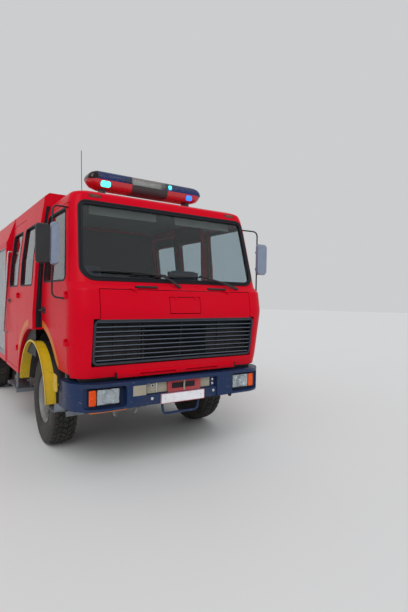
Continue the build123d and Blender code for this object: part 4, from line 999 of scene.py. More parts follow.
def level_hinge(x, station, z, side, radius, arm, depth):
    barrel = turned([(0, 0), (0, radius - 1), (1, radius), (29, radius), (30, radius - 1), (30, 0)],
                    (x, at(station), z), "x", 18)
    plate = block((x + 1, x + 29), (station - 3, station - radius + depth), sorted((z, z + side * (arm + 2))))
    return [barrel, plate]


door_window = [(door_edge(1874) + 58, 1874), (door_rear - 58, 1874), (door_rear - 58, 2598),
               (door_edge(2598) + 58, 2598)]


def arch_cutter(radius):
    """What the front wheel's arch takes out of a door."""
    return turned([(x, radius) for x in (-1300, 0, 1300)], on_axle(front_wheel), "x", 120)


def window_rubber(name, path, sign, lean, foot, owner):
    """Rubber lip round a side window."""
    section = [(sign * a, b) for a, b in ((-9, foot), (-9, 2.5), (-6, 4), (6, 4), (10, 1), (12, foot))]
    piece(name, [swept(path, section, [(sign, 0, lean)] * len(path), closed=True)], "gasket_rubber", owner, sharp=40)


def skin_piece(name, forms, owner, stands_for):
    piece(name, forms, "red_paint", owner, edge=2.5, stands_for=[stands_for])


def make_cab_skin():
    """Pressed skin of the cab, cut into its front, roof, doors and front flap."""
    skin = combined(cab_form(0), ("DIFFERENCE", [cab_form(cab_wall, 20)]))
    region = side_prism([(-100, skirt_z), (243, skirt_z), (243, 1850), (436, 2647), (436, eave_z), (-100, eave_z)],
                        -1300, 1300)
    openings = [screen_prism(), front_prism(rectangle(-905, 905, 1501, 1800), -100, 400),
                front_prism(rectangle(-963, 963, 1058, 1515), -100, 400)]
    front = combined(skin, ("INTERSECT", [region]), ("DIFFERENCE", openings))
    hinges = [form for x in (-580, 550) for form in level_hinge(x, 50, 1800, 1, 8, 12, 44)]
    hinges += both_sides([form for z in (1250, 1700) for form in upright_hinge(1168, door_front, z, -1)])
    skin_piece("cab_front_skin", [front] + hinges, "root", "cab_front")

    region = side_prism([(-100, eave_z), (436, eave_z), (436, 2647), (cab_rear, 2647), (cab_rear, 2848),
                         (-100, 2848)], -1300, 1300)
    holes = both_sides([front_prism(rectangle(778, 902, 2712, 2746), nose_at(2729) - 12, nose_at(2729) + 16)])
    skin_piece("cab_roof_skin", [combined(skin, ("INTERSECT", [region]), ("DIFFERENCE", holes))], "root", "cab_roof")

    region = side_prism([(door_front, door_low_z), (door_rear, door_low_z), (door_rear, door_top_z),
                         (pillar_top, door_top_z), (door_front, pillar_bend_z)], 0, 1300)
    door = combined(skin, ("INTERSECT", [region]),
                    ("DIFFERENCE", [side_prism(door_window, 0, 1300, 45), arch_cutter(850)]))
    hinges = [form for z in (1250, 1700) for form in upright_hinge(1168, door_front, z + 34.3, 1)]
    for side, turn in sides:
        skin_piece(f"door_skin_{side}", [turn(form) for form in [door] + hinges], f"door_{side}", f"door_{side}")

    flap = combined(skin, ("INTERSECT", [front_prism(rectangle(-898, 898, 1508, 1793), -100, 400)]),
                    ("DIFFERENCE", [front_prism(rectangle(-165, 215, 1556, 1732), -100, 400)]))
    hinges = [form for x in (-580, 550) for form in level_hinge(x + 30.3, 50, 1800, -1, 8, 24, 44)]
    hinges += [form for x in (-130, 110) for form in level_hinge(x, 42.52, 1732, 1, 4, 10, 26)]
    skin_piece("front_flap_skin", [flap] + hinges, "front_flap", "front_flap")
    lid = combined(skin, ("INTERSECT", [front_prism(rectangle(-158, 208, 1563, 1725), -100, 60)]))
    hinges = [form for x in (-130, 110) for form in level_hinge(x + 30.3, 42.52, 1732, -1, 4, 20, 22)]
    skin_piece("flap_lid_skin", [lid] + hinges, "flap_lid", "flap_lid")


gasket_section = [(-24, -14), (-24, 3), (-21, 6.5), (-14, 8), (-7, 6.6), (-4.5, 4), (-3, 6.6), (0, 7.8), (3, 6.6),
                  (4.5, 4), (7, 6.6), (14, 8), (21, 6.5), (24, 3), (24, -14)]


def make_windscreen():
    """Windscreen in its rubber, with the groove of the filler strip."""
    outline = divided(screen_outline(20), 40)
    rubber = swept([on_screen(*place) for place in outline], gasket_section, [screen_normal(*p) for p in outline],
                   closed=True)
    piece("windscreen_rubber", [rubber], "gasket_rubber", sharp=60, stands_for=["windscreen_gasket"])
    edge = screen_outline(36)
    low, high = min(u for x, u in edge), max(u for x, u in edge)
    levels = [low + 1 + (high - low - 2) * (0.5 - 0.5 * math.cos(math.pi * i / 26)) for i in range(27)]
    shares = [math.sin(math.pi / 2 * (i / 24 - 1)) for i in range(49)]
    sheets = [[[tuple(on_screen(share * width_at(edge, u), u, -depth)) for share in shares] for u in levels]
              for depth in (14, 20)]
    piece("windscreen_glass", [slab(*sheets)], "window_glass", sharp=60, stands_for=["windscreen"])


def make_door_seals():
    """Rubber round each door window."""
    outline = divided(rounded([(at(s), z) for s, z in door_window], 45, 7), 60)
    for side, sign in both:
        path = [(sign * side_x(z), y, z) for y, z in outline]
        window_rubber(f"door_window_rubber_{side}", path, sign, 0, -22, f"door_{side}")


make_cab_skin()
make_windscreen()
make_door_seals()


# ---------- grille, lower panel, bumper and fittings on the cab ----------
grille_low_z, grille_high_z = 1072, 1508
bumper_bend_x, bumper_bend = 855, 300
lamp_z = 772


def pillow(x, z, near, far, bulge, corner, steps=12):
    """Cushioned cover between two values of x and z, bulging towards the front."""
    outline = pane(*x, *z, corner, 4)
    middle, half = (x[0] + x[1]) / 2, (x[1] - x[0]) / 2
    front, back = [], []
    for level in (z[0] + (z[1] - z[0]) * i / steps for i in range(steps + 1)):
        level = min(max(level, z[0] + 0.4), z[1] - 0.4)
        reach = width_at(outline, level) - middle
        rise = 1 - abs(2 * (level - z[0]) / (z[1] - z[0]) - 1) ** 3
        row = [(middle + reach * i / steps, level) for i in range(-steps, steps + 1)]
        front.append([(a, at(near - bulge * rise * (1 - abs((a - middle) / half) ** 3)), b) for a, b in row])
        back.append([(a, at(far), b) for a, b in row])
    return slab(front, back)


def frame_ring(x, z, near, far, width, corner):
    """Flat frame round a rectangle, between two stations."""
    def drawn_in(inset, radius):
        return pane(x[0] + inset, x[1] - inset, z[0] + inset, z[1] - inset, radius)
    outer, lip, inner = drawn_in(0, corner), drawn_in(2, corner), drawn_in(width, max(corner - width, 2))
    rings = [[(a, at(s), b) for a, b in line] for line, s in
             ((outer, far), (outer, near + 2), (lip, near), (inner, near), (inner, far))]
    return loft(rings + [rings[0]], capped=False)


def hex_bolt(place, axis="y", size=9.0, height=6.0):
    """Bolt head on a round washer; its head points the way the height goes."""
    head = [(0, 0), (0, size), (height * 0.85, size), (height, size * 0.8), (height, 0)]
    washer = [(0, 0), (0, size * 1.35), (height * 0.25, size * 1.35), (height * 0.25, 0)]
    return [turned(head, place, axis, 6), turned(washer, place, axis, 20)]


def make_grille_edges():
    """Pale rolled lip along every slat, and the frame's own lip."""
    lips, pitch = [], (grille_high_z - grille_low_z) / 9.5
    section = [(0, -4.2), (2.6, -3.2), (3.4, 0), (2.2, 3.2), (-2.0, 4.2), (-4.5, 1.5)]
    for row in range(9):
        z = grille_low_z + (row + 0.75) * pitch
        reach = 932 if 0 < row < 8 else 916
        lips.append(loft([[(x, at(nose_at(z) + 8.6) - a, z + 9.2 + b) for a, b in section] for x in (-reach, reach)]))
    piece("grille_slat_lips", lips, "slat_edge_grey", "front_flap")
    path = [(x, at(nose_at(z) - 1), z) for x, z in divided(pane(-945, 945, 1083, 1497, 46, 8), 90)]
    lip = swept(path, [(-7, -3), (-6, 1.4), (0, 2.6), (6, 1.4), (7, -3)], [(0, -1, 0.06)] * len(path), closed=True)
    piece("grille_frame_lip", [lip], "grille_grey", "front_flap", sharp=60)


def make_radiator():
    """Radiator core on the frame's rails and the bulkhead behind the grille."""
    tanks = [block((-396, 396), (172, 246), z) for z in ((1412, 1476), (932, 984))]
    tanks += [block(x, (170, 248), (930, 1470)) for x in ((-404, -380), (380, 404))]
    piece("radiator_tanks", tanks, "frame_black", edge=6)
    tubes = []
    for x in (-370 + 740 * index / 37 for index in range(38)):
        tubes.append(swept([(x, at(182), 980), (x, at(182), 1415)], [(-3, -8), (3, -8), (3, 8), (-3, 8)]))
    core = sheet_of([[(x, at(200), z) for x in (-381, 381)] for z in (980, 1415)])
    piece("radiator_core", tubes + [core], "radiator_fins")
    rows = [[(x, at(s + (abs(x) > 1000) * 60), z) for x in (-1040, -1000, -440, 440, 1000, 1040)]
            for s, z in ((196, 1012), (196, 1690), (252, 1758))]
    back = [[(x, y + 4, z) for x, y, z in row] for row in rows]
    stiffeners = [swept([(x, at(194), 1040), (x, at(194), 1680)], [(-16, 0), (-10, 8), (10, 8), (16, 0)],
                        [(0, -1, 0)] * 2) for x in (-900, -700, -560, 560, 700, 900)]
    piece("front_bulkhead", [slab(rows, back)] + stiffeners, "frame_black", edge=1.5)


def make_lower_panel_details():
    """Bolt heads along the ledge, and dark strips at its ends that are painted shade in the gaps there."""
    places = ((-682, 968), (-497, 966), (442, 974), (610, 974), (-14, 975))
    piece("ledge_bolts", [form for x, z in places for form in hex_bolt((x, at(66), z), "y", 7, -6)], "red_paint")
    # Dark strips in the gaps at the ledge's ends: painted shade, in the rubber finish.
    piece("ledge_gap_shade_strip", [block(x, (60, 96), (936, 990)) for x in ((-722, -712), (712, 722))],
          "gasket_rubber", edge=2)


def bumper_face(x):
    """Station of the bumper's outside, which bends back at each end."""
    over = max(0.0, abs(x) - bumper_bend_x)
    return bumper_bend - math.sqrt(max(0.0, bumper_bend ** 2 - over ** 2))


def make_jaw():
    """Red-lined mouth of the towing jaw, its pin, the cover plates beside it and what is bolted there."""
    plates = [block(x, s, (low, high)) for x, s, low, high in
              (((-574, -432), (-0.1, 3), 758, 860), ((-428, -300), (40, 46.5), 760, 864),
               ((-298, -168), (42, 46.5), 760, 862), ((214, 350), (40, 46.5), 762, 866))]
    piece("jaw_cover_plates", plates, "beige_plate", edge=3)
    folds = [swept([(x, at(s), 762), (x, at(s), 862)], circle(r, 8)) for x, s, r in ((-304, 38, 5), (-166, 40, 4))]
    piece("jaw_plate_folds", folds, "bright_steel")
    ring = turned([(0, 0), (0, 19), (-7, 19), (-9, 16), (-9, 12), (-3, 10), (-3, 0)], (-349, at(40.5), 838), "y", 28)
    hole = turned([(0, 0), (0, 9.5), (-5, 9), (-5, 0)], (-349, at(40), 838), "y", 20)
    piece("tow_socket_ring", [ring], "bright_steel", sharp=40)
    piece("tow_socket_hole", [hole], "gasket_rubber")
    eye = [(0, 0), (0, 15), (-8, 15), (-11, 11), (-11, 6), (-6, 5), (-6, 0)]
    eyes = [turned(eye, (x, at(s), z), "y", 24)
            for x, z, s in ((-363, 712, 14), (392, 832, 46), (383, 716, 14), (392, 786, 46))]
    piece("strap_eyes", eyes, "bright_steel", sharp=40)
    outer, inner = pane(-172, 212, 754, 866, 10, 4), pane(-118, 160, 782, 838, 6, 4)
    lips = pane(-180, 220, 748, 867, 14, 4)
    mouth = loft([[(x, at(s), z) for x, z in line] for line, s in
                  ((lips, 45.5), (lips, 20), (outer, 18), (inner, 44), (inner, 45.5))], capped=False)
    piece("jaw_mouth", [mouth], "jaw_red", sharp=24)
    piece("jaw_floor", [block((-122, 164), (43.5, 45.5), (779, 841))], "gasket_rubber", edge=0.5)
    pin = [(0, 0), (0, 12), (6, 12), (6, 10), (112, 10), (112, 17), (119, 17), (119, 0)]
    piece("jaw_pin", [turned(pin, (22, at(31), 748), "z", 20)], "beige_plate", sharp=40)


def make_number_plate():
    plate = combined(front_prism(rectangle(-265, 265, 642, 748), 5, 14, 6))
    piece("number_plate", [plate], "white_plate", edge=1)
    piece("number_plate_border", [frame_ring((-265, 265), (642, 748), 3.5, 9, 6, 6)], "jaw_red", sharp=40)
    piece("plate_screws", [f for x in (-215, 215) for f in hex_bolt((x, at(5), 695), "y", 5, -3)], "bright_steel")


def make_bumper_edges():
    """Pressed rib round each lamp pocket, the folded edge along the bumper's top, and what hangs below."""
    pockets, folds = [], []
    for side in (-1, 1):
        outline = divided(pane(*sorted((side * 627, side * 1052)), 664, 880, 42, 7), 30)
        path = [(x, at(bumper_face(x) + 1.5), z) for x, z in outline]
        out = [(math.copysign(max(0, abs(x) - bumper_bend_x) / bumper_bend, x), -1, 0) for x, y, z in path]
        pockets.append(swept(path, [(-7, -3), (-5, 0.4), (0, 1.4), (5, 0.4), (7, -3)], out, closed=True))
        corner = bent([(side * 1150, at(430), 905), (side * 1150, at(306), 905), (side * 852, at(5), 905),
                       (0, at(5), 905)], 240, 12)
        folds.append(swept(corner, [(-5, -3), (-4, 1.6), (0, 2.8), (4, 1.6), (5, -3)], [(0, 0, 1)] * len(corner)))
    piece("lamp_pocket_ribs", pockets, "navy_bumper", sharp=60)
    hangers = [rod([(-729, at(90), 652), (-729, at(92), 585), (-705, at(112), 566)], 11),
               rod([(-497, at(90), 652), (-497, at(92), 590), (-515, at(104), 572)], 13)]
    piece("bumper_hangers", hangers, "rim_grey")
    knob = turned([(0, 0), (0, 16), (-18, 22), (-44, 20), (-52, 12), (-52, 0)], (673, at(90), 654), "z", 20)
    piece("lamp_adjuster_knob", [knob], "gasket_rubber")
    piece("bumper_top_edge", folds, "navy_bumper", sharp=60)
    strip = swept([(-1000, at(16), 646), (-800, at(9), 645), (-640, at(9), 646)],
                  [(-3, -8), (3, -8), (3, 8), (-3, 8)], [(0, -1, 0)] * 3)
    piece("left_lamp_under_strip", [strip], "orange_paint")


def make_headlamps():
    """Headlamps with fluted glass over a bright bowl, and the orange indicators outside them."""
    bowls, glasses, amber, trays, bulbs, rims, backs = [], [], [], [], [], [], []
    for side in (-1, 1):
        lens_x, flash_x = sorted((side * 688, side * 914)), sorted((side * 922, side * 992))
        middle, flash = sum(lens_x) / 2, sum(flash_x) / 2
        bowl = []
        for z in range(-70, 71, 5):
            reach = [(x, min(1.0, math.hypot(x, z) / 66)) for x in range(-108, 109, 6)]
            bowl.append([(middle + x, at(63 + 15 * (1 - r * r) ** 2), lamp_z + z) for x, r in reach])
        bowls.append(slab(bowl, [[(x, at(79.5), z) for x, y, z in row] for row in bowl]))
        rims.append(turned([(-1, 64), (-3.5, 66), (-3.5, 69), (-1, 71), (2, 68)], (middle, at(64), lamp_z), "y", 48,
                           closed=True))
        glasses.append(pillow(lens_x, (699, 845), 58, 61, 7, 16))
        amber.append(pillow(flash_x, (699, 845), 58, 62, 6, 12))
        trays.append(frame_ring(sorted((side * 681, side * 998)), (693, 851), 56, 80, 6, 18))
        trays.append(block((side * 915, side * 921), (58, 80), (697, 847)))
        for profile, place, steps in (
                ([(0, 0), (0, 15), (-5, 15), (-8, 7), (-16, 6), (-18, 3), (-18, 0)], (middle, at(78), lamp_z), 20),
                ([(0, 0), (0, 13), (-6, 13), (-14, 8), (-15, 0)], (flash, at(79), lamp_z), 18)):
            bulbs.append(turned(profile, place, "y", steps))
        backs.append(block(flash_x, (76, 80), (697, 847)))
    piece("headlamp_bowls", bowls, "bright_steel", sharp=50)
    piece("headlamp_rims", rims, "bright_steel", sharp=60)
    piece("headlamp_bulbs", bulbs, "white_plate", sharp=40)
    piece("headlamp_glasses", glasses, "lamp_glass", sharp=50, stands_for=["headlamps"])
    piece("front_indicators", amber, "orange_lens", sharp=50)
    piece("headlamp_trays", trays, "gasket_rubber", sharp=40)
    piece("indicator_backs", backs, "beige_plate", edge=1)


def make_front_handles():
    """Black grab handles under the windscreen, each on a foot plate."""
    z, bars = 1824, []
    station = nose_at(z)
    for low, high in ((-528, -284), (340, 584)):
        bars.append(grip_bar((low + 8, at(station + 4), z - 3), (high - 8, at(station + 4), z - 3), (0, -24, 4),
                             11, 12, 14))
        bars.append(block((low, high), (station - 9, station + 6), (z - 16, z + 13)))
    piece("front_grab_handles", bars, "black_plastic", edge=3)


def on_glass(x, z, proud):
    return on_screen(x, (z - screen_low_z) / screen_up.z, proud)


def wiper_arm(pivot, knee):
    """Flat arm that narrows from its pivot to its knee."""
    path = bent([pivot, pivot.lerp(knee, 0.42) + Vector((0, -16, 10)), knee], 60, 6)
    rings = []
    for i, tangent in enumerate(frames_along(path, False)):
        wide = 15 - 7 * i / (len(path) - 1)
        out = Vector((0, -0.9, 0.35))
        out = (out - tangent * out.dot(tangent)).normalized()
        across = tangent.cross(out)
        rings.append([tuple(path[i] + across * a + out * b) for a, b in
                      ((-wide, -5), (-wide, 3), (-wide + 3, 6), (wide - 3, 6), (wide, 3), (wide, -5))])
    return loft(rings)


def make_wipers():
    """Wiper arms with their blades lying on the glass."""
    arms, blades, caps = [], [], []
    for pivot_x, knee_x, knee_z, start_x, end_x, blade_z in ((-22, -227, 1946, -924, -150, 1965),
                                                             (749, 269, 1956, -275, 320, 1934)):
        knee = on_glass(knee_x, knee_z, 34)
        arms.append(wiper_arm(Vector((pivot_x, at(nose_at(1836) - 22), 1836)), knee))
        bow = [(start_x + (end_x - start_x) * i / 14,
                blade_z + (knee_z - blade_z) * (i / 14) ** 2 * 0.8 + 4 * math.sin(math.pi * i / 14))
               for i in range(15)]
        arms.append(swept([on_glass(x, z, 15 + 12 * math.sin(math.pi * i / 14)) for i, (x, z) in enumerate(bow)],
                          [(-6, -3), (-6, 2), (-3, 5), (3, 5), (6, 2), (6, -3)], [tuple(screen_out)] * 15))
        blades.append(swept([on_glass(x, z, 6) for x, z in bow], [(-4, -6), (-5, 4), (5, 4), (4, -6)],
                            [tuple(screen_out)] * 15))
        caps.append(turned([(30, 0), (30, 20), (4, 20), (-4, 18), (-26, 17), (-31, 12), (-31, 0)],
                           (pivot_x, at(nose_at(1836)), 1836), "y", 24))
        link_x = (start_x + end_x) / 2 if pivot_x < 0 else knee_x
        caps.append(swept([knee, on_glass(link_x, knee_z, 24)], circle(5, 8)))
    piece("wiper_arms", arms, "black_plastic", sharp=35, stands_for=["wipers"])
    piece("wiper_blades", blades, "gasket_rubber", sharp=35)
    piece("wiper_pivots", caps, "black_plastic", sharp=35)


def mirror_shell(x, z, near, far, bow):
    """Mirror head: a cushioned back towards the front and a flat glass side behind."""
    middle = ((x[0] + x[1]) / 2, (z[0] + z[1]) / 2)
    stations = ((1.0, far), (1.0, far - 6), (0.995, (near + far) / 2), (0.93, near + 5), (0.75, near + bow * 0.2),
                (0.4, near))
    return loft([[(middle[0] + (a - middle[0]) * share, at(station), middle[1] + (b - middle[1]) * share)
                  for a, b in pane(*x, *z, 34)] for share, station in stations])


def make_mirrors():
    """Mirrors on bowed tube arms: a dark and a narrow pale head at the right, one pale head at the left."""
    heads = {"left": [("head", "pale_shell", (1236, 1392), (2030, 2420), 290, 334, 36)],
             "right": [("head", "black_plastic", (-1418, -1290), (2022, 2392), 296, 334, 30),
                       ("spot", "pale_shell", (-1286, -1212), (2012, 2416), 286, 330, 36)]}
    glasses = {"left": [block((1246, 1382), (335, 337), (2044, 2406))],
               "right": [block((-1408, -1300), (335, 337), (2036, 2378)),
                         block((-1278, -1220), (331, 333), (2030, 2398))]}
    for side, sign in both:
        arm = [(sign * 1056, at(470), 2596), (sign * 1262, at(345), 2576), (sign * 1262, at(345), 1710),
               (sign * 1138, at(332), 1700)]
        clamps = [block((sign * 1262 - 17, sign * 1262 + 17), (334, 356), (z, z + 26)) for z in (2090, 2300)]
        feet = [block((sign * 1120, sign * 1158), (312, 352), (1682, 1718)),
                turned([(0, 0), (0, 14), (8, 14), (10, 9), (10, 0)], (sign * 1060, at(468), 2592), "x", 16)]
        piece(f"mirror_arm_{side}", [rod(arm, 9, 12, 70)] + clamps + feet, "black_plastic", f"door_{side}",
              edge=2, stands_for=[f"mirror_{side}"])
        for name, look, *shape in heads[side]:
            piece(f"mirror_{name}_{side}", [mirror_shell(*shape)], look, f"door_{side}", sharp=50)
        piece(f"mirror_glass_{side}", glasses[side], "mirror_silver", f"door_{side}", edge=0.8)


def make_antenna():
    foot = turned([(0, 0), (0, 22), (6, 22), (16, 15), (34, 11), (38, 8), (38, 0)], (-830, at(850), 2797), "z", 24)
    whip = rod([(-830, at(850), 2830), (-834, at(850), 2960), (-838, at(849), 3130), (-842, at(848), 3306)], 3.5, 8)
    piece("antenna_whip", [foot, whip], "black_plastic", stands_for=["antenna"])


def make_roof_markers():
    """Small lamps in frames above the windscreen's corners."""
    station = nose_at(2729) - 10
    lenses = [pillow(sorted((side * 784, side * 896)), (2716, 2742), station + 4, station + 26, 5, 9, 8)
              for side in (-1, 1)]
    frames = [frame_ring(sorted((side * 779, side * 901)), (2713, 2745), station + 3, station + 30, 5, 8)
              for side in (-1, 1)]
    piece("roof_marker_lenses", lenses, "marker_lens", stands_for=["small_lamps"])
    piece("roof_marker_frames", frames, "bar_grey", sharp=40)


def bar_ring(half, deep, z, corner, low=-1000, high=1000):
    """Level ring of the light bar, cut short between two values of x."""
    return [(max(min(x, high), low), at(980) + y, z) for x, y in pane(-half, half, -deep, deep, corner, 6)]


def make_bar_housing():
    """Lower half of the light bar in three lengths, on two feet."""
    housing = loft([bar_ring(*ring) for ring in
                    ((600, 78, 2950, 60), (640, 92, 2951, 74), (706, 108, 2972, 90), (742, 120, 3008, 104),
                     (752, 125, 3036, 110), (752, 125, 3042, 110), (745, 118, 3044, 104))])
    for name, low, high, look in (("right", -760, -232, "bar_red"), ("middle", -232, 240, "bar_grey"),
                                  ("left", 240, 760, "bar_red")):
        cut = combined(housing, ("INTERSECT", [block((low, high), (800, 1160), (2900, 3100))]))
        piece(f"light_bar_housing_{name}", [cut], look, edge=2,
              stands_for=["light_bar"] if name == "right" else ())
    feet = [block((side * 560 - 25, side * 560 + 25), (920, 1040), (2798, 2953)) for side in (-1, 1)]
    feet += [block((side * 560 - 60, side * 560 + 60), (905, 1055), (2797, 2806)) for side in (-1, 1)]
    piece("light_bar_feet", feet, "bar_grey", edge=4)


def make_bar_lenses():
    """Upper half of the light bar: hollow lenses with dark seams between them."""
    rings = ((746, 121, 3042, 60), (746, 121, 3058, 60), (742, 119, 3076, 60), (734, 116, 3094, 58),
             (718, 108, 3112, 54), (694, 96, 3128, 48), (668, 82, 3138, 40), (642, 68, 3144, 30))
    hollow = loft([bar_ring(h - 5, d - 5, z - 4, c) for h, d, z, c in rings])
    shell = combined(loft([bar_ring(*ring) for ring in rings]), ("DIFFERENCE", [hollow]))
    # The right end cap's dark red finish is painted shade.
    for name, low, high, look in (("right", -640, -234, "blue_lens"), ("end", -760, -643, "shaded_end_lens"),
                                  ("middle", -230, 240, "bar_clear_lens"), ("left", 244, 760, "blue_lens")):
        cut = combined(shell, ("INTERSECT", [block((low, high), (800, 1160), (3000, 3200))]))
        piece(f"light_bar_lens_{name}", [cut], look, stands_for=["light_bar_lenses"] if name == "right" else ())
    seams = [loft([bar_ring(h + 1.5, d + 1.5, z + 1, c, x, x + 5) for h, d, z, c in rings])
             for x in (-644, -235, 239)]
    piece("light_bar_seams", seams, "bar_grey")


def make_bar_lamps():
    """Turning mirrors inside the light bar, and the three lamps that are lit."""
    spinner = [(0, 0), (0, 46), (10, 48), (14, 30), (50, 26), (68, 30), (72, 22), (72, 0)]
    spins = [turned(spinner, (x, at(980), 3044), "z", 24) for x in (-570, -360, 340, 470, 610)]
    spins += [block((x - 44, x + 44), (930, 1030), (3044, 3112)) for x in (-140, 5, 150)]
    piece("light_bar_mirrors", spins, "bright_steel", edge=4)
    for name, look, x, z, near, far, bulge, corner in (
            ("right", "lit_cyan", (-612, -500), (2962, 3028), 852, 876, 8, 22),
            ("middle", "lit_cyan", (252, 300), (3052, 3112), 866, 884, 8, 20),
            ("left", "lit_blue", (508, 590), (2964, 3026), 852, 876, 6, 20)):
        piece(f"lit_lamp_{name}", [pillow(x, z, near, far, bulge, corner, 8)], look)


make_grille_edges()
make_radiator()
make_lower_panel_details()
make_jaw()
make_number_plate()
make_bumper_edges()
make_headlamps()
make_front_handles()
make_wipers()
make_mirrors()
make_antenna()
make_roof_markers()
make_bar_housing()
make_bar_lenses()
make_bar_lamps()


# ---------- wheels ----------
def tyre_forms(x, axle, steps=84, blocks=42):
    """Tyre with moulded walls, grooves between five rows of tread blocks."""
    wall = [(-102, 263), (-112, 268), (-126, 292), (-131, 297), (-131, 303), (-128, 308), (-137, 350), (-140, 392),
            (-138, 436), (-139, 444), (-137, 450), (-132, 466), (-128, 486), (-118, 500), (-86, 505), (-30, 507)]
    lining = [(90, 276), (112, 330), (118, 400), (104, 462), (60, 482)]
    profile = wall + [(-a, r) for a, r in reversed(wall)] + lining + [(-a, r) for a, r in reversed(lining)]
    forms = [turned(profile, on_axle(axle, x), "x", steps, closed=True)]
    rows = ((-125, -84, 0.5, 0.02, 514), (-76, -34, 0.0, 0.03, 518.5), (-26, 26, 0.25, -0.03, 520),
            (34, 76, 0.0, 0.03, 518.5), (84, 125, 0.5, -0.02, 514))
    pitch = 2 * math.pi / blocks
    for low, high, offset, skew, top in rows:
        for index in range(blocks):
            start = (index + offset) * pitch
            corners = []
            for radius, shrink in ((500, 0.0), (top, 0.05)):
                for a, turn in ((low + shrink * 20, skew), (high - shrink * 20, -skew)):
                    for share in (0.08 + shrink * 0.4, 0.84 - shrink * 0.4):
                        reach = radius - (10 if abs(a) > 120 else 0)
                        corners.append(on_axle(axle, x + a, reach, start + pitch * share + turn))
            forms.append((corners, [[0, 1, 3, 2], [4, 6, 7, 5], [0, 2, 6, 4], [1, 5, 7, 3], [0, 4, 5, 1],
                                    [2, 3, 7, 6]]))
    return forms


def hand_holes(x, axle, reach, radius, count=8):
    return [turned([(-90, 0), (-90, radius), (90, radius), (90, 0)],
                   on_axle(axle, x, reach, 2 * math.pi * (index + 0.5) / count), "x", 20) for index in range(count)]


def wheel_nuts(x, axle, reach, out, count=10):
    profile = [(out * a, r) for a, r in ((0, 0), (0, 19), (4, 19), (5, 15), (22, 14), (25, 9), (34, 8), (34, 0))]
    return [turned(profile, on_axle(axle, x, reach, 2 * math.pi * index / count), "x", 6) for index in range(count)]


def front_rim(sign):
    """Dished rim with its hand holes, and the cap and nuts of its hub."""
    x, middle = sign * 955, on_axle(front_wheel)
    profile = [(sign * a, r) for a, r in (
        (861, 261), (858, 272), (865, 272), (872, 258), (880, 236), (903, 224), (915, 205), (941, 152),
        (930, 120), (915, 96), (915, 37), (1001, 37), (1001, 78), (990, 86), (966, 98), (958, 118), (955, 160),
        (944, 182), (925, 213), (932, 219), (1010, 226), (1062, 236), (1078, 256), (1088, 268), (1092, 272),
        (1094, 266), (1089, 261), (1070, 249), (980, 240), (890, 244))]
    rim = turned(profile, middle, "x", 72, closed=True)
    rim = combined(rim, ("DIFFERENCE", hand_holes(x, front_wheel, 184, 21)))
    cap = turned([(x + sign * a, r) for a, r in ((30, 50), (30, 62), (50, 62), (66, 56), (74, 40), (76, 3), (72, 3),
                                                 (68, 38), (60, 48))], middle, "x", 40, closed=True)
    return rim, [cap] + wheel_nuts(x + sign * 4, front_wheel, 140, sign)


def twin_rim(sign):
    """Rims of a pair of rear wheels, and the cap and nuts of their hub."""
    middle, x = on_axle(rear_wheel), 940
    profile = [(-262, 261), (-266, 272), (-258, 272), (-250, 250), (-70, 216), (-20, 165), (-20, 37), (100, 37),
               (100, 80), (60, 96), (24, 108), (18, 150), (22, 176), (60, 214), (180, 222), (252, 238), (268, 262),
               (275, 272), (276, 264), (270, 261), (236, 261), (225, 240), (80, 240), (20, 240), (-100, 240),
               (-225, 240), (-240, 261)]
    rim = turned([(sign * (x + a), r) for a, r in profile], middle, "x", 72, closed=True)
    cap = turned([(sign * (x + a), r) for a, r in ((90, 0), (90, 92), (112, 92), (124, 84), (130, 60), (140, 52),
                                                   (144, 0))], middle, "x", 40)
    return rim, [cap] + wheel_nuts(sign * (x + 24), rear_wheel, 138, sign)


def make_wheels():
    for side, sign in both:
        piece(f"front_tyre_{side}", tyre_forms(sign * 975, front_wheel), "tyre_rubber", f"wheel_front_{side}",
              sharp=35, stands_for=[f"tyre_front_{side}"])
        rim, trim = front_rim(sign)
        piece(f"front_rim_{side}", [rim], "rim_grey", f"wheel_front_{side}", stands_for=[f"rim_front_{side}"])
        piece(f"front_hub_{side}", trim, "hub_grey", f"wheel_front_{side}")
        rear = tyre_forms(sign * 780, rear_wheel) + tyre_forms(sign * 1100, rear_wheel)
        piece(f"rear_tyres_{side}", rear, "tyre_rubber", f"wheels_rear_{side}", sharp=35,
              stands_for=[f"tyres_rear_{side}"])
        rim, trim = twin_rim(sign)
        piece(f"rear_rims_{side}", [rim], "rim_grey", f"wheels_rear_{side}", stands_for=[f"rims_rear_{side}"])
        piece(f"rear_hub_{side}", trim, "hub_grey", f"wheels_rear_{side}")


make_wheels()


# ---------- crew cab, equipment body and rear ----------
crew_sides_profile = ((700, 1240), (1500, 1250), (2150, 1215), (2600, 1160), (2850, 1124))
valve_x = (-430, -280, 280, 430)


def crew_x(z):
    """How far out the crew cab's side is at a height."""
    for (low, x0), (high, x1) in zip(crew_sides_profile, crew_sides_profile[1:]):
        if low <= z <= high:
            return x0 + (x1 - x0) * (z - low) / (high - low)
    return crew_sides_profile[0 if z < 700 else -1][1]


def on_side(path, sign, proud=0.0):
    """Points of the crew cab's side from (station, z) points."""
    return [(sign * (crew_x(z) + proud), at(s), z) for s, z in path]


def door_handle(name, owner, sign, width, ends, height, sunk, proud, thick, base):
    """Bowed handle on a thin base plate; width tells how far out the panel is at a height."""
    face = [(sign * (width(z) + 3), at(s), z) for s, z in pane(*base, 16)]
    plate = loft([[(x - sign * thick, y, z) for x, y, z in face], face])
    feet = [(sign * (width(height) - sunk), at(s), height) for s in ends]
    piece(name, [plate, grip_bar(*feet, (sign * proud, 0, 0), 8, 10, 14)], "black_plastic", owner, edge=1)


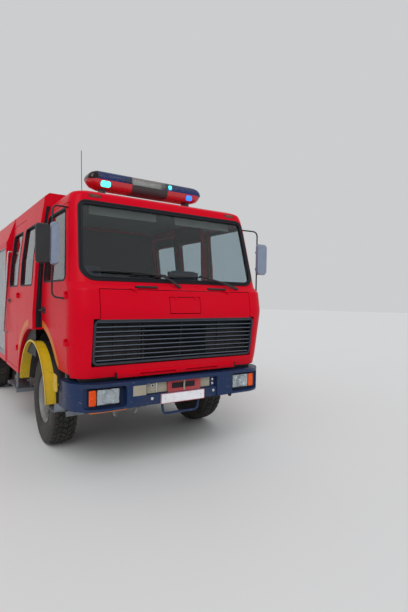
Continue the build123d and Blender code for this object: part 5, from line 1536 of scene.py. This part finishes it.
def make_crew_details():
    """Rubber round the crew windows, door handles, grab rails, and behind the cab a rubber bead and a dark sheet that
    is painted shade.
    """
    for label, start, end in (("fixed", 1380, 2055), ("door", 2245, 2865)):
        for side, sign in both:
            path = on_side(divided(pane(start, end, 1840, 2560, 45, 7), 80), sign)
            owner = f"crew_door_{side}" if label == "door" else "root"
            window_rubber(f"crew_{label}_window_rubber_{side}", path, sign, 0.12, -20, owner)
    heights = (1360, 1500, 1800, 2150, 2400, 2600, 2740)
    for side, sign in both:
        door_handle(f"crew_door_handle_{side}", f"crew_door_{side}", sign, crew_x, (2860, 2735), 1640, 0, 34, 4,
                    (2722, 2872, 1600, 1672))
        feet = on_side([(3000, 1180), (3000, 2350)], sign, -2)
        piece(f"crew_grab_rail_{side}", [grip_bar(*feet, (sign * 48, 0, 0), 14, 12, 40)], "ladder_metal")
        door_handle(f"door_handle_{side}", f"door_{side}", sign, side_x, (1168, 1060), 1560, 2, 40, 5,
                    (1040, 1188, 1524, 1596))
        # Dark sheet over the step where the crew cab stands wider than the cab: painted shade of that shadowed strip
        # of wall, in the rubber finish; the bead beside it is a real rubber bead.
        outline = [(sign * (crew_x(z) - 34), z) for z in heights]
        outline += [(sign * (side_x(min(z, eave_z)) - 8), z) for z in reversed(heights)]
        painted_shade_sheet = prism(outline[::sign], "y", at(1243), at(1251))
        bead = swept([(sign * (crew_x(z) - 60), at(1241), z) for z in (1370, *heights[1:-1], 2730)], circle(7, 8))
        piece(f"cab_joint_rubber_{side}", [painted_shade_sheet, bead], "gasket_rubber", edge=2)


def make_arch_bands():
    """Orange band round the wheel arch of each door and crew side."""
    for side, sign in both:
        for label, owner, low, high, width, floor, near, far in (
                ("door", f"door_{side}", 96, 172, side_x, 984, 256, 1222),
                ("crew", "root", 32, 82, crew_x, 760, 1256, 9999)):
            columns = []
            for step in range(31):
                angle = math.radians(low + (high - low) * step / 30)
                column = [(front_wheel[0] + reach * math.cos(angle), front_wheel[1] + reach * math.sin(angle))
                          for reach in (856, 880, 905, 930)]
                if all(z > floor and near < s < far for s, z in column):
                    columns.append(column)
            face = [[(sign * (width(z) + 1.6), at(s), z) for s, z in row] for row in zip(*columns)]
            back = [[(x - sign * 3, y, z) for x, y, z in row] for row in face]
            piece(f"arch_band_{label}_{side}", [slab(face, back)], "orange_paint", owner, sharp=50)


def make_shutters():
    """Roller shutters with their slats, grips and frames."""
    slats, grips, frames, top = [], [], [], 2420
    for sign in (1, -1):
        for start, end, low in ((3165, 4270, 800), (4345, 5520, 1330), (5595, 7180, 800)):
            count = round((top - low) / 45)
            pitch = (top - low) / count
            rows = [[(sign * (1222 + proud), at(s), low + (index + share) * pitch) for s in (start, end)]
                    for index in range(count)
                    for share, proud in ((0.04, 0.0), (0.12, 3.6), (0.5, 5.2), (0.88, 3.6), (0.96, 0.0))]
            slats.append(slab(rows, [[(sign * 1214, y, z) for x, y, z in row] for row in rows]))
            middle = (start + end) / 2
            grips.append(grip_bar((sign * 1224, at(middle - 260), low + 46), (sign * 1224, at(middle + 260), low + 46),
                                  (sign * 20, 0, 0), 7, 10, 12))
            grips.append(block((sign * 1220, sign * 1236), (start + 6, end - 6), (low + 2, low + 24)))
            outline = divided(rectangle(at(start), at(end), low, top), 400)
            section = [(sign * a, b) for a, b in ((-3, -26), (-3, 0.6), (14, 0.6), (14, -4), (3, -26))]
            frames.append(swept([(sign * 1249, y, z) for y, z in outline], section, [(sign, 0, 0)] * len(outline),
                                closed=True))
    piece("shutter_slats", slats, "shutter_metal", sharp=50, stands_for=["shutters"])
    piece("shutter_grips", grips, "ladder_metal", edge=2)
    piece("shutter_frames", frames, "ladder_metal")


def make_side_lamps():
    """Reflectors, locker lamps and the gutters along the body's sides."""
    reflectors, lamps = [], []
    for sign in (1, -1):
        for s, z in ((3120, 776), (4310, 1282), (5560, 1282), (7250, 776)):
            reflectors.append(pillow_side(sign, (s - 22, s + 22), (z - 20, z + 20)))
        for s in (3400, 5060, 6600):
            lamps.append(pillow_side(sign, (s - 60, s + 60), (2446, 2470)))
    piece("side_reflectors", reflectors, "orange_lens")
    piece("locker_lamps", lamps, "clear_lens")
    gutters = [block((sign * 1236, sign * 1249), (3080, 7320), (2484, 2512)) for sign in (1, -1)]
    piece("roof_gutters", gutters, "red_paint", edge=4)


def make_rear_fittings():
    """Tail lamps in three chambers, blank plate, grab rails, bands and what is on the rear flap."""
    for name, look, low, high in (("top", "orange_lens", 930, 1006), ("middle", "red_lens", 846, 926),
                                  ("bottom", "clear_lens", 764, 842)):
        lenses = [rear_pillow((sign * 1130 - 51, sign * 1130 + 51), (low, high), 7338, 7357) for sign in (1, -1)]
        piece(f"tail_lenses_{name}", lenses, look)
    boxes = [block((sign * 1130 - 55, sign * 1130 + 55), (7325, 7340), (760, 1010)) for sign in (1, -1)]
    piece("tail_lamp_boxes", boxes, "black_plastic", edge=3)
    piece("rear_plate", [block((-262, 262), (7325, 7330), (846, 958))], "white_plate", edge=1)
    rails = [grip_bar((x, at(7322), 1300), (x, at(7322), 1920), (0, 30, 0), 13, 12, 26) for x in (-860, 860)]
    piece("rear_grab_rails", rails, "ladder_metal")
    bands = [block(x, (7325, 7329), (1040, 1110)) for x in ((-1190, -960), (960, 1190))]
    piece("rear_reflector_bands", bands, "orange_paint", edge=1)
    handle = grip_bar((-180, at(7324), 1478), (180, at(7324), 1478), (0, 28, 0), 10, 12, 18)
    locks = [turned([(0, 0), (0, 26), (8, 24), (12, 10), (12, 0)], (x, at(7324), 1500), "y", 24) for x in (-480, 480)]
    piece("rear_flap_handle", [handle] + locks, "ladder_metal", "rear_flap")
    path = [(x, at(7326), z) for x, z in divided(pane(-612, 612, 1448, 2352, 30), 200)]
    bead = swept(path, [(-5, -2), (-4, 2), (4, 2), (5, -2)], [(0, 1, 0)] * len(path), closed=True)
    piece("rear_flap_bead", [bead], "red_paint", "rear_flap", sharp=50)


def make_pump_fittings():
    """Coupling rings on the rear wall, gauges and valve wheels of the pump."""
    collars = []
    for x, z, radius in [(0, 1230, 74)] + [(x, 1200, 50) for x in valve_x]:
        profile = [(0, radius + 1), (0, radius + 16), (8, radius + 18), (14, radius + 12), (14, radius + 1)]
        collars.append(turned(profile, (x, at(7330), z), "y", 40, closed=True))
    piece("coupling_collars", collars, "ladder_metal")
    faces, rims, needles, y = [], [], [], at(6822)
    for x in (-300, -100, 100, 300):
        faces.append(turned([(0, 0), (0, 48), (1.5, 48), (1.5, 0)], (x, y, 1750), "y", 36))
        rims.append(turned([(-2, 46), (-2, 56), (7, 55), (9, 50), (7, 46)], (x, y, 1750), "y", 36, closed=True))
        needles.append(swept([(x - 10, y + 4, 1742), (x + 24, y + 4, 1768)], [(-2.5, 0), (2.5, 0), (0, 2)]))
    piece("gauge_faces", faces, "dial_face")
    piece("gauge_rims", rims, "bright_steel")
    piece("gauge_needles", needles, "jaw_red")
    wheels, y, z = [], at(6860), 1460
    for x in valve_x:
        wheels.append(turned([(-6, 44), (0, 50), (6, 44), (0, 38)], (x, y, z), "y", 32, closed=True))
        wheels += [rod([(x - 44, y, z), (x + 44, y, z)], 5), rod([(x, y, z - 44), (x, y, z + 44)], 5),
                   rod([(x, y - 60, z), (x, y + 6, z)], 9)]
    piece("valve_wheels", wheels, "jaw_red")


def pillow_side(sign, stations, z):
    """Small lamp or reflector on the side wall."""
    points, faces = pillow(stations, z, 0, 6, 4, 8, 6)
    return [(sign * (1245.5 - (b + half_length) * 0.9), at(a), c) for a, b, c in points], faces


def rear_pillow(x, z, near, far):
    """Small lamp on the rear wall."""
    points, faces = pillow(x, z, 0, far - near - 2, 2, 8, 8)
    return [(a, at(far) - (b + half_length) - 1, c) for a, b, c in points], faces


def make_ladder_details():
    """Rails' end caps and the brackets that clamp the ladder to its rests."""
    forms = []
    for x in (210, 630):
        forms += [block((x - 17, x + 17), stations, (2948, 3032)) for stations in ((3286, 3314), (7136, 7150))]
        for s in (3625, 5250, 6825):
            forms.append(block((x - 24, x + 24), (s - 30, s + 30), (2936, 2956)))
            forms += hex_bolt((x - 34, at(s), 2952), "z", 8, 8) + hex_bolt((x + 34, at(s), 2952), "z", 8, 8)
    piece("ladder_clamps", forms, "black_plastic", edge=2)


def make_chassis_details():
    """Spring clips, tank cap and straps, and the silencer's straps."""
    bolts = [grip_bar((sign * 362, at(axle[0] + s), 574), (sign * 458, at(axle[0] + s), 574), (0, 0, 106), 9, 8, 12)
             for sign in (1, -1) for axle in (front_wheel, rear_wheel) for s in (-60, 60)]
    piece("spring_u_bolts", bolts, "cast_black")
    straps = [swept([(x, at(s), z) for x, z in divided(pane(483, 987, 448, 752, 62, 6), 120)],
                    [(-20, -1), (-20, 3), (20, 3), (20, -1)], closed=True) for s in (2370, 2820)]
    piece("tank_straps", straps, "ladder_metal")
    cap = turned([(0, 0), (0, 52), (10, 54), (26, 50), (30, 40), (30, 0)], (960, at(2330), 720), "x", 32)
    piece("tank_cap", [cap], "ladder_metal")
    bands = [turned([(-16, 126), (-16, 130), (16, 130), (16, 126)], (-640, at(s), 600), "y", 40, closed=True)
             for s in (2420, 2880)]
    piece("silencer_bands", bands, "exhaust_steel")


make_crew_details()
make_arch_bands()
make_shutters()
make_side_lamps()
make_rear_fittings()
make_pump_fittings()
make_ladder_details()
make_chassis_details()


# ---------- mudguards, entry steps and shields ----------
def arch_sheet(sign, x0, x1, axle, radius, angles, thick=6, steps=40, lip=0):
    """Curved sheet over a wheel, turned up at its outer edge where lip is given."""
    edge = [(x1, radius + lip), (x1 - thick, radius + lip), (x1 - thick, radius + thick)]
    section = [(x0, radius), (x1, radius), *(edge if lip else [(x1, radius + thick)]), (x0, radius + thick)]
    low, high = angles
    return loft([[on_axle(axle, sign * x, r, math.radians(low + (high - low) * index / steps)) for x, r in section]
                 for index in range(steps + 1)])


def make_mudguards():
    """Yellow bands and dark liners over the wheels, on their stays."""
    bands, liners, stays = [], [], []
    for sign in (1, -1):
        bands.append(arch_sheet(sign, 1130, 1240, front_wheel, 672, (12, 172), lip=20))
        liners.append(arch_sheet(sign, 850, 1129, front_wheel, 672, (12, 172)))
        bands.append(arch_sheet(sign, 1120, 1238, rear_wheel, 600, (10, 170), lip=20))
        liners.append(arch_sheet(sign, 620, 1119, rear_wheel, 600, (10, 170)))
        for s in (1070, 1590):
            stays.append(block((sign * 960, sign * 1000), (s - 15, s + 15), (1142, 1262)))
        for s in (4503, 5357):
            stays.append(block((sign * 500, sign * 650), (s - 18, s + 18), (934, 968)))
    piece("mudguard_bands", bands, "yellow_paint", sharp=40, stands_for=["mudguards"])
    piece("mudguard_liners", liners, "black_plastic", sharp=40)
    piece("mudguard_stays", stays, "frame_black", edge=3)


def make_shields():
    """Dark shields that close the cab's underside behind the bumper and the grille's sides."""
    shields = [block((sign * 470, sign * far), stations, z) for sign in (1, -1)
               for far, stations, z in ((1040, (196, 208), (760, 935)), (846, (208, 420), (760, 772)))]
    piece("bumper_shields", shields, "black_plastic", edge=3)


def make_entry_steps():
    """Bent tread plates below each door and the yellow side brackets of the bumper."""
    path = [(506, 652), (512, 572), (530, 560), (690, 562), (716, 588), (730, 752)]
    for side, sign in both:
        rows = [[(sign * x, at(s), z) for x in (1004, 1188)] for s, z in path]
        under = [[(x, y + (5 if z > 600 else 0), z + (5 if z < 600 else 0)) for x, y, z in row] for row in rows]
        plate = slab(rows, under)
        studs = [block((sign * x, sign * (x + 8)), (s, s + 26), (566, 570)) for x in range(1020, 1180, 24)
                 for s in (548, 596, 644)]
        piece(f"entry_plate_{side}", [plate] + studs, "tread_plate", sharp=40, edge=1)
        flange = [(430, 800), (452, 940), (548, 950), (566, 930), (560, 800), (540, 780), (448, 780)]
        piece(f"side_bracket_{side}", [side_prism(flange, *sorted((sign * 1176, sign * 1186))),
                                       block((sign * 1090, sign * 1186), (470, 530), (838, 848))],
              "yellow_paint", edge=3)


make_mudguards()
make_shields()
make_entry_steps()


# ---------- inside of the cab ----------
dash_out, dash_along = Vector((0, 0.8, 0.6)), Vector((0, -0.6, 0.8))


def pad_shape(x, y, z, corner):
    """Closed pad with rounded corners from its three ranges in mm."""
    middle = ((x[0] + x[1]) / 2, (y[0] + y[1]) / 2)
    levels = ((0.90, z[0]), (0.97, z[0] + 6), (1.0, z[0] + 20), (1.0, z[1] - 24), (0.975, z[1] - 8), (0.90, z[1]))
    return loft([[(middle[0] + (a - middle[0]) * share, middle[1] + (b - middle[1]) * share, height)
                  for a, b in pane(*x, *y, corner, 6)] for share, height in levels])


def puffed(obj, size, reach):
    """Swell a pad with a cloth simulation, held where it rests, and keep the result."""
    remesh = obj.modifiers.new("even", "REMESH")
    remesh.mode, remesh.voxel_size = "VOXEL", size
    bake(obj)
    rest = [v.co.copy() for v in obj.data.vertices]
    low = min(v.z for v in rest)
    group = obj.vertex_groups.new(name="held")
    group.add([i for i, v in enumerate(rest) if v.z < low + 0.012], 1.0, "REPLACE")
    stuffing = obj.modifiers.new("stuffing", "CLOTH").settings
    stuffing.quality, stuffing.mass = 5, 0.3
    stuffing.use_pressure, stuffing.uniform_pressure_force = True, 4
    stuffing.effector_weights.gravity = 0
    stuffing.vertex_group_mass = "held"
    stuffing.tension_stiffness = stuffing.compression_stiffness = 30
    for step in range(1, 21):
        bpy.context.scene.frame_set(step)
    bake(obj)
    bpy.context.scene.frame_set(1)
    for vertex, before in zip(obj.data.vertices, rest):
        moved = vertex.co - before
        if moved.length > reach:
            vertex.co = before + moved.normalized() * reach
    for polygon in obj.data.polygons:
        polygon.use_smooth = True


def bake(obj):
    """Turn an object's modifiers into its mesh."""
    mesh = bpy.data.meshes.new_from_object(obj.evaluated_get(bpy.context.evaluated_depsgraph_get()))
    obj.modifiers.clear()
    obj.data = mesh


def pad_back(x, width, station, top):
    """Backrest that leans back a little and narrows towards its faces."""
    rings = []
    for share, near in ((0.90, 0.0), (0.97, 0.08), (1.0, 0.3), (1.0, 0.72), (0.97, 0.92), (0.90, 1.0)):
        ring = []
        for a, z in pane(x - width / 2 + 12, x + width / 2 - 12, top + 16, top + 632, 60, 6):
            height = top + 324 + (z - top - 324) * share
            front = station + 372 + (height - top) / 650 * 50
            ring.append((x + (a - x) * share, at(front + (station + 458 - front) * near), height))
        rings.append(ring)
    return loft(rings[::-1])


def seat_pads():
    """Swollen cushion and back of a front seat and of the crew's bench."""
    pads = []
    for label, x, width, station, low, top, size in (("seat_left", 690, 470, 764, 1344, 1476, 0.009),
                                                     ("bench", 0, 1880, 2424, 1300, 1424, 0.018)):
        cushion = pad_shape((x - width / 2 + 12, x + width / 2 - 12), (at(station + 10), at(station + 352)),
                            (low, top), 46)
        for part, form in (("cushion", cushion), ("back", pad_back(x, width, station, top))):
            pads.append(piece(f"{label}_{part}", [form], "seat_cloth", sharp=180))
            puffed(pads[-1], size, 0.024)
    for made in pads[:2]:
        twin = new_object(made.name.replace("left", "right"), made.data.copy())
        twin.data.transform(Matrix.Translation((-1.38, 0, 0)))
        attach(twin, "root")
        pads.append(twin)


def make_seats():
    """Seats and bench on their boxes and shells."""
    seat_pads()
    frames = []
    for x in (690, -690):
        frames.append(loft([[(x + a, at(s), z) for a, s in rectangle(-w, w, f, r)] for w, f, r, z in
                            ((170, 850, 1150, 1135), (160, 850, 1140, 1240), (225, 772, 1216, 1300),
                             (228, 768, 1222, 1346))]))
        frames.append(block((x - 236, x + 236), (1196, 1226), (1340, 2070)))
        frames.append(rod([(x - 244, at(1130), 1400), (x - 244, at(1170), 1420)], 16))
    frames += [block((-940, 940), (2440, 2880), (1016, 1302)), block((-940, 940), (2872, 2888), (1300, 2020))]
    piece("seat_frames", frames, "lining_black", edge=6, stands_for=["seats"])


def make_linings():
    """Trim pressed against the inside of the cab: front and pillars, roof cloth and doors."""
    shell = combined(cab_form(41.5), ("DIFFERENCE", [cab_form(47, 20)]))
    low, high = eave_z - 4, eave_z + 2
    region = side_prism([(-100, 1120), (238, 1120), (238, 1850), (430, 2647), (430, low), (-100, low)], -1300, 1300)
    openings = [screen_prism(), front_prism(rectangle(-1004, 1004, 1050, 1836), -100, 420)]
    piece("front_lining", [combined(shell, ("INTERSECT", [region]), ("DIFFERENCE", openings))], "lining_black")
    region = side_prism([(-100, high), (442, high), (442, 2654), (cab_rear - 4, 2654), (cab_rear - 4, 2848),
                         (-100, 2848)], -1300, 1300)
    piece("roof_lining", [combined(shell, ("INTERSECT", [region]))], "headliner_cloth")
    region = side_prism([(door_front + 8, 1030), (door_rear - 8, 1030), (door_rear - 8, door_top_z - 8),
                         (pillar_top + 6, door_top_z - 8), (door_front + 8, pillar_bend_z)], 0, 1300)
    door = combined(shell, ("INTERSECT", [region]),
                    ("DIFFERENCE", [side_prism(door_window, 0, 1300, 45), arch_cutter(862)]))
    arm = grip_bar((1108, at(760), 1720), (1108, at(1000), 1720), (-48, 0, 0), 14, 12, 24)
    winder = [rod([(1112, at(900), 1560), (1074, at(900), 1560)], 9),
              rod([(1076, at(900), 1560), (1076, at(960), 1610)], 6),
              rod([(1078, at(960), 1610), (1050, at(960), 1610)], 11)]
    for side, turn in sides:
        piece(f"door_lining_{side}", [turn(form) for form in [door, arm] + winder], "lining_black", f"door_{side}")


def make_crew_linings():
    """Trim on the crew cab's walls, doors, rear wall and roof, and the sun visors."""
    walls = (((1300, 2148), (1018, 1832)), ((1300, 2148), (2568, 2800)), ((1300, 1372), (1832, 2568)),
             ((2063, 2148), (1832, 2568)))
    panels = (((2190, 2920), (1020, 1832)), ((2190, 2920), (2568, 2672)), ((2190, 2237), (1832, 2568)),
              ((2873, 2920), (1832, 2568)))
    for side, sign in both:
        piece(f"crew_lining_{side}", [wall_sheet(sign, *area) for area in walls], "lining_black")
        piece(f"crew_door_lining_{side}", [wall_sheet(sign, *area) for area in panels], "lining_black",
              f"crew_door_{side}")
    heights = (1018, 1500, 2150, 2600, 2790)
    wall = [(sign * (crew_x(z) - 52), z) for sign in (1, -1) for z in heights[::sign]]
    piece("crew_rear_lining", [prism(wall, "y", at(2994), at(3003))], "lining_black")
    roof = [[[(x, at(s), z - (abs(x) > 900) * 26) for x in (-1050, -900, 900, 1050)] for s in (1290, 2985)]
            for z in (2838, 2832)]
    piece("crew_roof_lining", [slab(*roof)], "headliner_cloth")
    visors = []
    for x0, x1 in ((-880, -120), (120, 880)):
        rows = [[(x, at(470 + (2700 - z) * -0.12), z) for x in (x0, x0 + 12, x1 - 12, x1)]
                for z in (2552, 2560, 2672, 2680)]
        visors.append(slab(rows, [[(x, y + 22, z) for x, y, z in row] for row in rows]))
    piece("sun_visors", visors, "headliner_cloth", edge=8)


def wall_sheet(sign, stations, z):
    """Lining between two stations that follows the side's folds."""
    levels = sorted({z[0], z[1]} | {level for level, x in crew_sides_profile if z[0] < level < z[1]})
    front = [[(sign * (crew_x(level) - 47), at(s), level) for s in stations] for level in levels]
    return slab(front, [[(x - sign * 5, y, level) for x, y, level in row] for row in front])


def on_slope(x, up, proud=0.0):
    """Point on the dashboard's sloping face."""
    return Vector((x, at(475), 1700)) + dash_along * up + dash_out * proud


def make_dials():
    """Instrument hood with four dials."""
    hood = loft([[on_slope(x, up, proud) for x, up in pane(520 + inset, 860 - inset, inset - 62, 78 - inset, 30)]
                 for proud, inset in ((-6, 0), (26, 0), (32, 6), (32, 16), (12, 20))])
    piece("dial_hood", [hood], "black_plastic", sharp=50)
    faces, rims, pointers, level = [], [], [], Vector((1, 0, 0))
    for x, up, radius in ((610, 8, 44), (770, 8, 44), (690, 34, 24), (690, -24, 24)):
        centre = on_slope(x, up, 13)
        faces.append(rod([centre, centre + dash_out * 2], radius, 36))
        ring = [centre + dash_out * 3 + level * a + dash_along * b for a, b in circle(radius + 1, 36)]
        rims.append(swept(ring, circle(3, 8), [dash_out] * 36, closed=True))
        tip = (level * 0.6 + dash_along * 0.8) * radius * 0.8
        pointers.append(rod([centre + dash_out * 3, centre + dash_out * 3 + tip], 1.6, 6))
    piece("dash_dials", faces, "dial_face")
    piece("dash_dial_rims", rims, "bright_steel")
    piece("dash_pointers", pointers, "jaw_red")


def make_dashboard_details():
    """Switches, vents and the grab rail on the dashboard."""
    make_dials()
    switches, vents = [], []
    for place in range(16):
        middle = on_slope(-60 + place % 8 * 46, -26 + place // 8 * 48)
        corners = [middle + Vector((a, 0, 0)) + dash_along * b for a, b in pane(-15, 15, -18, 18, 4, 3)]
        switches.append(loft([[c - dash_out * 3 for c in corners], [c + dash_out * 4 for c in corners],
                              [middle + (c - middle) * 0.8 + dash_out * 8 for c in corners]]))
    piece("dash_switches", switches, "black_plastic", sharp=40)
    for x in (-950, -300, 420, 950):
        vents += [rod([on_slope(x - 44, up, 2), on_slope(x + 44, up, 2)], 3.4, 8) for up in range(-33, 34, 11)]
        ring = [on_slope(x + a, b, 2) for a, b in pane(-52, 52, -42, 42, 14)]
        vents.append(swept(ring, circle(5, 8), [dash_out] * len(ring), closed=True))
    piece("dash_vents", vents, "frame_black")
    rail = grip_bar(on_slope(-880, 0, -4), on_slope(-460, 0, -4), dash_out * 48, 11, 12, 22)
    piece("dash_grab_rail", [rail], "black_plastic")


make_seats()
make_linings()
make_crew_linings()
make_dashboard_details()


# ---------- finish ----------
def dress_kept_nodes():
    """Give the CAD's own nodes that stay their finishes."""
    for look, names in kept_nodes.items():
        for name in names.split():
            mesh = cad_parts[name].data
            mesh.materials.clear()
            mesh.materials.append(looks[look])


dress_kept_nodes()
